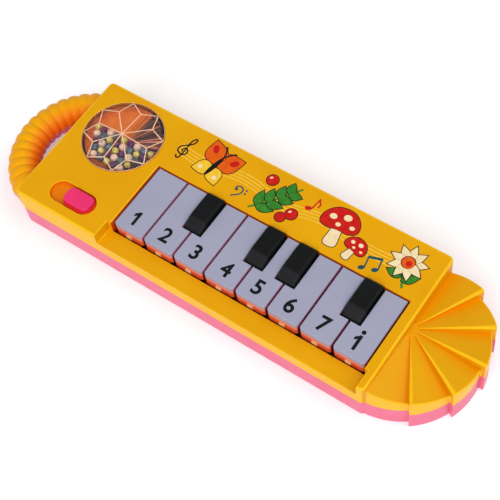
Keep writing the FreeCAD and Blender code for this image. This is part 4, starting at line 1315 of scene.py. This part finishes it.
# %% Beads
bead_radius = 1.45 * mm
bead_gap = 0.15 * mm
bore_radius = 0.4 * mm
bead_turns = Vector((0.9, 0.4, 1.7))
bead_z = middle_of("beads_yellow", "z")
bead_colours = {
    "yellow": ((206, 200, 70), (232, 222, 150)),
    "purple": ((104, 16, 118), (66, 8, 82)),
    "pale": ((236, 196, 186), (246, 224, 208)),
    "blue": ((86, 116, 138), (60, 84, 110)),
}


def bead_places():
    """Places of the beads and the number of the kind of each, row by row from the front."""
    pitch = 2 * bead_radius + bead_gap
    reach = room_radius - bead_radius - bead_gap
    rows = int(reach / pitch) + 1
    places = []
    for row in range(-rows, rows + 1):
        for column in range(-rows, rows + 1):
            x = (column + (row % 2) / 2) * pitch
            y = row * pitch * math.sin(math.radians(60))
            if math.hypot(x, y) < reach and y < 0.2 * reach:
                places.append((x, y, (column + 2 * row) % len(bead_colours)))
    return places


def first_bead(kind):
    """One bead of a kind at the origin: cut with facets, or round with a bore along X."""
    faceted = kind in ("yellow", "purple")
    bpy.ops.mesh.primitive_ico_sphere_add(subdivisions=1 if faceted else 3, radius=bead_radius)
    bead = settle(bpy.context.object, "bead")
    if faceted:
        soften(bead, 0.12 * mm, 1, 20)
    else:
        cut(bead, rod("bead_bore", (0, 0, 0), bore_radius, 4 * mm, lying_x, 16))
    return bead


bead_spots = bead_places()
for number, (kind, colours) in enumerate(bead_colours.items()):
    model = first_bead(kind)
    beads = []
    for count, (x, y, group) in enumerate(bead_spots):
        if group == number:
            bead = copy_of(model)
            bead.rotation_euler = bead_turns * count
            bead.location = (window_x + x, window_y + y, bead_z)
            beads.append(settle(bead, "bead_copy"))
    bpy.data.objects.remove(model)
    heap = join_pieces(beads, "beads_%s_cut" % kind)
    pearl = moulded("bead_%s_pearl" % kind, *colours, 0.2, 0.02, 500, 0.4)
    finish_piece(heap, "case", pearl, "bead_%s" % kind, "beads_%s" % kind)

# %% [markdown]
# ## Tray
# The tray under the window is orange plastic. Away from the light it falls off to a dark brown, and
# thin pale pink streaks are what the facets throw on it. A noise that reads only the angle about
# the middle gives the streaks.

# %% Tray
tray_orange = moulded("tray_orange", (240, 130, 14), (226, 108, 8), 0.3, 0.05, 200)
tray_tree = tray_orange.node_tree
streaks = noise(tray_tree, turn_about(tray_orange, *window_place), 60, 2)
between_streaks = spread(tray_tree, streaks, 0.52, 0.6, 1, 0)
dark_side = along(tray_orange, "X", window_x - 2 * mm, window_x + 2.5 * mm)
lay_over(tray_orange, along(tray_orange, "X", window_x, window_x + 5 * mm), 240, 150, 128)
lay_over(tray_orange, reckon(tray_tree, "MULTIPLY", between_streaks, dark_side), 66, 38, 42)
dress(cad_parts["bead_tray"], tray_orange)
print("tray", tray_orange.name)

# %% [markdown]
# ## Numerals
# Each white key carries a plain printed numeral near its front edge, and the last repeats the first
# with a dot over it, for the note an octave up. A text object gives the outline. It is made a mesh,
# and then set on the key as a film of ink a few hundredths of a millimetre thick.

# %% Numerals on the keys
ink_black = moulded("ink_black", (9, 9, 14), (16, 15, 20), 0.5, 0.1, 400)
numeral_size = 8.0 * mm
numeral_y = key_front + 5.2 * mm
numeral_weight = 0.024
ink_depth = 0.03 * mm
ink_low = key_top - ink_depth
ink_high = key_top + ink_depth


def flag_of_one(x):
    """Slanted stroke at the upper left of a numeral one, sliced from a block."""
    top = numeral_y + 2.9 * mm
    flag = block("flag", (x - 1.75 * mm, top - 2.1 * mm, ink_low), (x, top, ink_high))
    lean = Vector((-0.6, 0.8, 0))
    slice_off(flag, (x - 0.55 * mm, top, key_top), lean)
    slice_off(flag, (x - 0.55 * mm, top - 1.35 * mm, key_top), -lean)
    return flag


def numeral(index):
    """Numeral on one key, riding on that key."""
    x = key_middle(index)
    last = index == key_count - 1
    bpy.ops.object.text_add(location=(x, numeral_y, key_top))
    word = bpy.context.object
    word.data.body = "1" if last else str(index + 1)
    word.data.align_x = "CENTER"
    word.data.align_y = "CENTER"
    word.data.bevel_depth = numeral_weight
    word.data.bevel_resolution = 0
    word.data.extrude = 1
    word.scale = (numeral_size, numeral_size, ink_depth)
    only(word)
    bpy.ops.object.convert(target="MESH")
    film = settle(bpy.context.object, "numeral_%d" % (index + 1))
    if index == 0 or last:
        join(film, flag_of_one(x))
    if last:
        join(film, drum("dot", x, numeral_y + 4.6 * mm, 0.8 * mm, ink_low, ink_high, 24))
    finish_piece(film, "key_%d" % (index + 1), ink_black, None)


for index in range(key_count):
    numeral(index)

# %% [markdown]
# ## Printing on the back panel
# The panel behind the keys carries a row of bright pad-printed pictures with dark outlines, and between
# them a few notes and clefs. Ink lies on the plastic as a film, so every shape is a flat curve that is
# filled, made a mesh and laid on the panel. Its outline is the same curve grown a little and laid
# first, in black. Lines are drawn as a tube that is pressed flat. Each layer is a few thousandths of a
# millimetre higher than the last, as in painting. Points are in millimetres.

# %% Inks
ink_colours = {
    "red": ((214, 34, 26), (190, 22, 20)),
    "orange": ((236, 104, 18), (222, 84, 12)),
    "yellow": ((250, 206, 62), (244, 190, 40)),
    "cream": ((250, 230, 186), (240, 214, 164)),
    "green": ((64, 140, 44), (44, 116, 36)),
    "teal": ((18, 88, 96), (14, 70, 80)),
    "pale": ((246, 196, 66), (242, 186, 48)),
}
ink_film = {"black": ink_black}
for ink, colours in ink_colours.items():
    ink_film[ink] = moulded("ink_%s" % ink, *colours, 0.4, 0.08, 500)
print("inks", sorted(ink_film))

# %% [markdown]
# ## Films of ink
# A picture is a list of shapes, each with its kind, its ink and its points. A line is one layer and a
# mark is one fill, and a shape has an outline under its fill, with straight or smooth sides. Ovals and
# leaves are the shapes that return most, so their points are worked out.

# %% Helpers for films of ink
outline_growth = 0.3
line_half = 0.26
ink_step = 0.003 * mm
ink_layers = {"line": ["line"], "mark": ["fill"], "shape": ["outline", "fill"], "smooth": ["outline", "fill"]}


def lay_film(piece, ink, place, turn, size, half):
    """Make a flat curve a mesh, give it its ink and lay it on the panel."""
    piece.location = (place[0] * mm, place[1] * mm, case_top)
    piece.rotation_euler = (0, 0, math.radians(turn))
    piece.scale = (size * mm, size * mm, half)
    only(piece)
    bpy.ops.object.convert(target="MESH")
    film = settle(bpy.context.object, "print")
    dress(film, ink_film[ink])
    return film


def turned(x, y, along_x, along_y, turn):
    """Point beside another, after a turn about it."""
    lean = math.radians(turn)
    return (
        x + along_x * math.cos(lean) - along_y * math.sin(lean),
        y + along_x * math.sin(lean) + along_y * math.cos(lean))


def oval(x, y, across_x, across_y, turn=0):
    """Points round an oval."""
    points = []
    for step in range(24):
        angle = 2 * math.pi * step / 24
        points.append(turned(x, y, across_x / 2 * math.cos(angle), across_y / 2 * math.sin(angle), turn))
    return points


def leaf(x, y, length, width, turn):
    """Points round a leaf or petal that starts close to a point and ends in a tip."""
    points = []
    for step in range(20):
        share = step / 10 if step <= 10 else 2 - step / 10
        side = 1 if step <= 10 else -1
        along_x = length * (0.02 + 0.98 * share)
        along_y = side * width / 2 * math.sin(math.pi * share ** 0.8)
        points.append(turned(x, y, along_x, along_y, turn))
    return points


def film_curve(kind, layer, points, growth):
    """Curve for one layer of a shape: a line, an outline or a fill."""
    is_line = layer == "line"
    curve = bpy.data.curves.new("print", "CURVE")
    curve.dimensions = "3D" if is_line else "2D"
    curve.resolution_u = 6
    curve.bevel_depth = {"line": line_half, "outline": growth, "fill": 0}[layer]
    curve.bevel_resolution = 1 if is_line else 0
    if is_line:
        curve.use_fill_caps = True
    else:
        curve.fill_mode = "BOTH"
        curve.extrude = 1 - curve.bevel_depth
    spline = curve.splines.new("NURBS" if kind in ("line", "smooth") else "POLY")
    spline.points.add(len(points) - 1)
    for point, (x, y) in zip(spline.points, points):
        point.co = (x, y, 0, 1)
    spline.use_cyclic_u = not is_line
    spline.use_endpoint_u = is_line
    spline.order_u = 3
    piece = bpy.data.objects.new("print", curve)
    bpy.context.collection.objects.link(piece)
    return piece


def print_picture(name, place, turn, size, shapes, lift=0.02 * mm):
    """Lay the shapes of one picture on the panel, each higher than the last, and join them."""
    films = []
    for kind, ink, points in shapes:
        for layer in ink_layers[kind]:
            half = lift + ink_step * (len(films) + 1)
            piece = film_curve(kind, layer, points, outline_growth / size)
            if layer == "line":
                half /= line_half
            films.append(lay_film(piece, "black" if layer == "outline" else ink, place, turn, size, half))
    finish_piece(join_pieces(films, name), "case", None, None)


# %% [markdown]
# ## Four pictures
# The pictures are of the garden: a butterfly, a sprig with berries, a pair of toadstools and a daisy.
# Each is a short list of shapes round its own middle, so that it can be moved, turned and scaled.

# %% Pictures on the panel
butterfly = [
    ("shape", "orange", leaf(0, 0.4, 6.6, 5.0, 48)),
    ("shape", "orange", leaf(0, 0.4, 6.6, 5.0, 132)),
    ("shape", "yellow", leaf(0, -0.2, 4.8, 3.6, -42)),
    ("shape", "yellow", leaf(0, -0.2, 4.8, 3.6, 222)),
    ("mark", "red", oval(2.9, 3.4, 2.2, 1.4, 48)),
    ("mark", "red", oval(-2.9, 3.4, 2.2, 1.4, 132)),
    ("mark", "cream", oval(2.2, -2.0, 1.1, 1.1)),
    ("mark", "cream", oval(-2.2, -2.0, 1.1, 1.1)),
    ("mark", "black", oval(0, 0, 1.1, 6.0)),
    ("line", "black", [(0, 2.8), (0.4, 4.4), (1.6, 5.4)]),
    ("line", "black", [(0, 2.8), (-0.4, 4.4), (-1.6, 5.4)]),
]
sprig = [("line", "green", [(-5.0, -4.6), (-2.0, -2.4), (1.0, 0.6), (4.6, 4.4)])]
for step, (x, y) in enumerate([(-3.6, -3.6), (-1.6, -2.0), (0.4, 0.0), (2.2, 1.9)]):
    for turn in (88, 2):
        sprig.append(("shape", "green", leaf(x, y, 4.4 - 0.4 * step, 2.2, turn)))
sprig += [
    ("shape", "red", oval(-2.9, 4.0, 2.8, 2.8)),
    ("shape", "red", oval(4.9, -2.6, 2.8, 2.8)),
    ("shape", "red", oval(2.9, -4.2, 2.4, 2.4)),
    ("mark", "cream", oval(-3.4, 4.5, 0.8, 0.5, 40)),
    ("mark", "cream", oval(4.4, -2.1, 0.8, 0.5, 40)),
]
cap = [
    (-4.6, 0), (-4.4, 2.6), (-2.4, 4.8), (0, 5.2), (2.4, 4.8), (4.4, 2.6), (4.6, 0), (2.4, -0.8), (0, -0.4),
    (-2.4, -0.8)]
stem = [(-1.7, -4.6), (0, -5.0), (1.7, -4.6), (1.3, -2), (1.1, 0.6), (-1.1, 0.6), (-1.3, -2)]
toadstool = [
    ("smooth", "cream", stem),
    ("smooth", "red", cap),
    ("mark", "cream", oval(-2.1, 2.3, 1.7, 1.4)),
    ("mark", "cream", oval(1.0, 3.1, 1.9, 1.6)),
    ("mark", "cream", oval(2.9, 1.1, 1.2, 1.0)),
    ("mark", "cream", oval(-0.3, 0.8, 1.2, 1.0)),
]
daisy = [
    ("line", "green", [(0, 0), (-0.6, -3.0), (0.4, -6.0)]),
    ("shape", "green", leaf(-0.3, -4.4, 3.8, 1.9, 24)),
    ("shape", "green", leaf(-0.4, -3.6, 3.6, 1.9, 160)),
]
for petal in range(9):
    daisy.append(("shape", "cream", leaf(0, 0, 4.2, 1.9, 40 * petal)))
daisy += [
    ("shape", "orange", oval(0, 0, 2.8, 2.8)),
    ("mark", "red", oval(0.2, -0.2, 1.3, 1.3)),
]
print_picture("print_butterfly", (-20.4, 17.0), -12, 1.66, butterfly)
print_picture("print_sprig", (6.4, 17.4), 8, 1.56, sprig)
print_picture("print_toadstool_large", (31.2, 18.2), 6, 1.6, toadstool)
print_picture("print_toadstool_small", (40.2, 13.6), -14, 0.96, toadstool)
print_picture("print_daisy", (58.8, 18.9), 14, 1.66, daisy)

# %% [markdown]
# ## Notes, clefs and stave lines
# Small signs fill the room between the pictures: a treble clef, a bass clef, one note with a flag and
# two under a beam. Faint wavy stave lines run behind everything, lower than the other inks.

# %% Notes, clefs and stave lines
treble = [(
    "line", "black", [
        (-0.6, -3.4), (-0.3, -4.2), (0.7, -4.1), (0.8, -2.9), (0.3, 0.2), (-0.3, 2.6), (0.1, 4.4),
        (0.9, 4.5), (1.1, 3.0), (0.0, 1.3), (-1.7, -0.2), (-1.6, -2.1), (0.2, -2.7), (1.8, -1.7),
        (1.3, -0.1), (0.0, 0.0), (-0.6, -1.0), (0.1, -1.6)])]
bass = [
    ("line", "teal", [
        (-1.7, -2.2), (0.4, -1.2), (1.5, 0.4), (1.0, 1.9), (-0.6, 2.2), (-1.5, 1.2), (-0.9, 0.4)]),
    ("mark", "teal", oval(-0.9, 0.7, 1.1, 1.1)),
    ("mark", "teal", oval(2.5, 1.4, 0.7, 0.7)),
    ("mark", "teal", oval(2.5, 0.1, 0.7, 0.7)),
]
flagged = [
    ("mark", "red", oval(-0.8, -2.4, 2.3, 1.6, 24)),
    ("line", "red", [(0.2, -2.2), (0.2, 0.2), (0.2, 2.6)]),
    ("line", "red", [(0.2, 2.6), (0.6, 1.5), (1.8, 0.9), (1.5, -0.5)]),
]
beamed = [
    ("mark", "teal", oval(-2.6, -2.3, 2.1, 1.5, 24)),
    ("mark", "teal", oval(1.6, -1.7, 2.1, 1.5, 24)),
    ("line", "teal", [(-1.7, -2.1), (-1.7, 0.0), (-1.7, 2.2)]),
    ("line", "teal", [(2.5, -1.5), (2.5, 0.6), (2.5, 2.8)]),
    ("mark", "teal", [(-1.95, 1.5), (2.75, 2.1), (2.75, 3.0), (-1.95, 2.4)]),
]
stave_waves = [(-36, 0), (-24, -2.4), (-8, 2.2), (10, -2.4), (26, 2.2), (44, -2.4), (62, 0)]
stave_gap = 1.3
stave = []
for line in range(4):
    stave.append(("line", "pale", [(x, stave_gap * line + wave) for x, wave in stave_waves]))
print_picture("print_stave", (0, 15.4), 0, 1, stave, lift=0)
print_picture("print_treble_clef", (-34.0, 18.2), -10, 1.2, treble)
print_picture("print_bass_clef", (-6.8, 12.6), 6, 1.1, bass)
print_picture("print_flagged_note", (19.4, 22.2), -8, 1.1, flagged)
print_picture("print_beamed_notes", (48.6, 12.2), 10, 1.1, beamed)

# %% [markdown]
# ## Finishes of the pieces that stay as packed
# Screws, contacts, board, switch, speaker and wires are right as they are and only need a finish. Metal
# is plated; resin, paper, ferrite and board are dull plastics with more grain.

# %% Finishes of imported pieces


def plated(name, colour, drift, roughness):
    """Plated metal."""
    material = moulded(name, colour, drift, roughness, 0.2, 400, 0.5)
    fill(material.node_tree.nodes["Principled BSDF"], {"Metallic": 1})
    return material


zinc = plated("zinc_plate", (176, 178, 184), (150, 152, 158), 0.34)
nickel = plated("nickel_plate", (196, 194, 188), (174, 172, 166), 0.28)
vinyl = moulded("red_vinyl", (170, 30, 26), (150, 22, 20), 0.45, 0.1, 300)
packed_finish = {
    "battery_door": moulded("door_pink", (236, 116, 148), (230, 108, 140), 0.36, 0.12),
    "battery_door_screw": zinc,
    "case_screws": zinc,
    "bar_screws": zinc,
    "board_screws": zinc,
    "key_pivot_rod": plated("drawn_steel", (184, 185, 188), (160, 161, 165), 0.25),
    "main_board": moulded("board_laminate", (168, 128, 66), (146, 106, 50), 0.6, 0.25, 600),
    "sound_chip": moulded("chip_resin", (24, 24, 26), (34, 34, 36), 0.4, 0.15, 300),
    "slide_switch_body": nickel,
    "slide_switch_lever": moulded("lever_black", (30, 30, 32), (40, 40, 42), 0.45, 0.12, 400),
    "battery_cells": moulded("cell_wrap", (40, 84, 62), (30, 70, 52), 0.3, 0.05, 200),
    "battery_terminals": nickel,
    "battery_bridge": nickel,
    "speaker_frame": zinc,
    "speaker_magnet": moulded("ferrite", (44, 44, 48), (58, 58, 60), 0.7, 0.35, 500),
    "speaker_cone": moulded("cone_paper", (36, 34, 34), (50, 48, 46), 0.85, 0.4, 700),
    "speaker_wires": vinyl,
    "power_wires": vinyl,
}
for node, finish in packed_finish.items():
    dress(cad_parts[node], finish)
print("finished", len(packed_finish), "packed pieces")
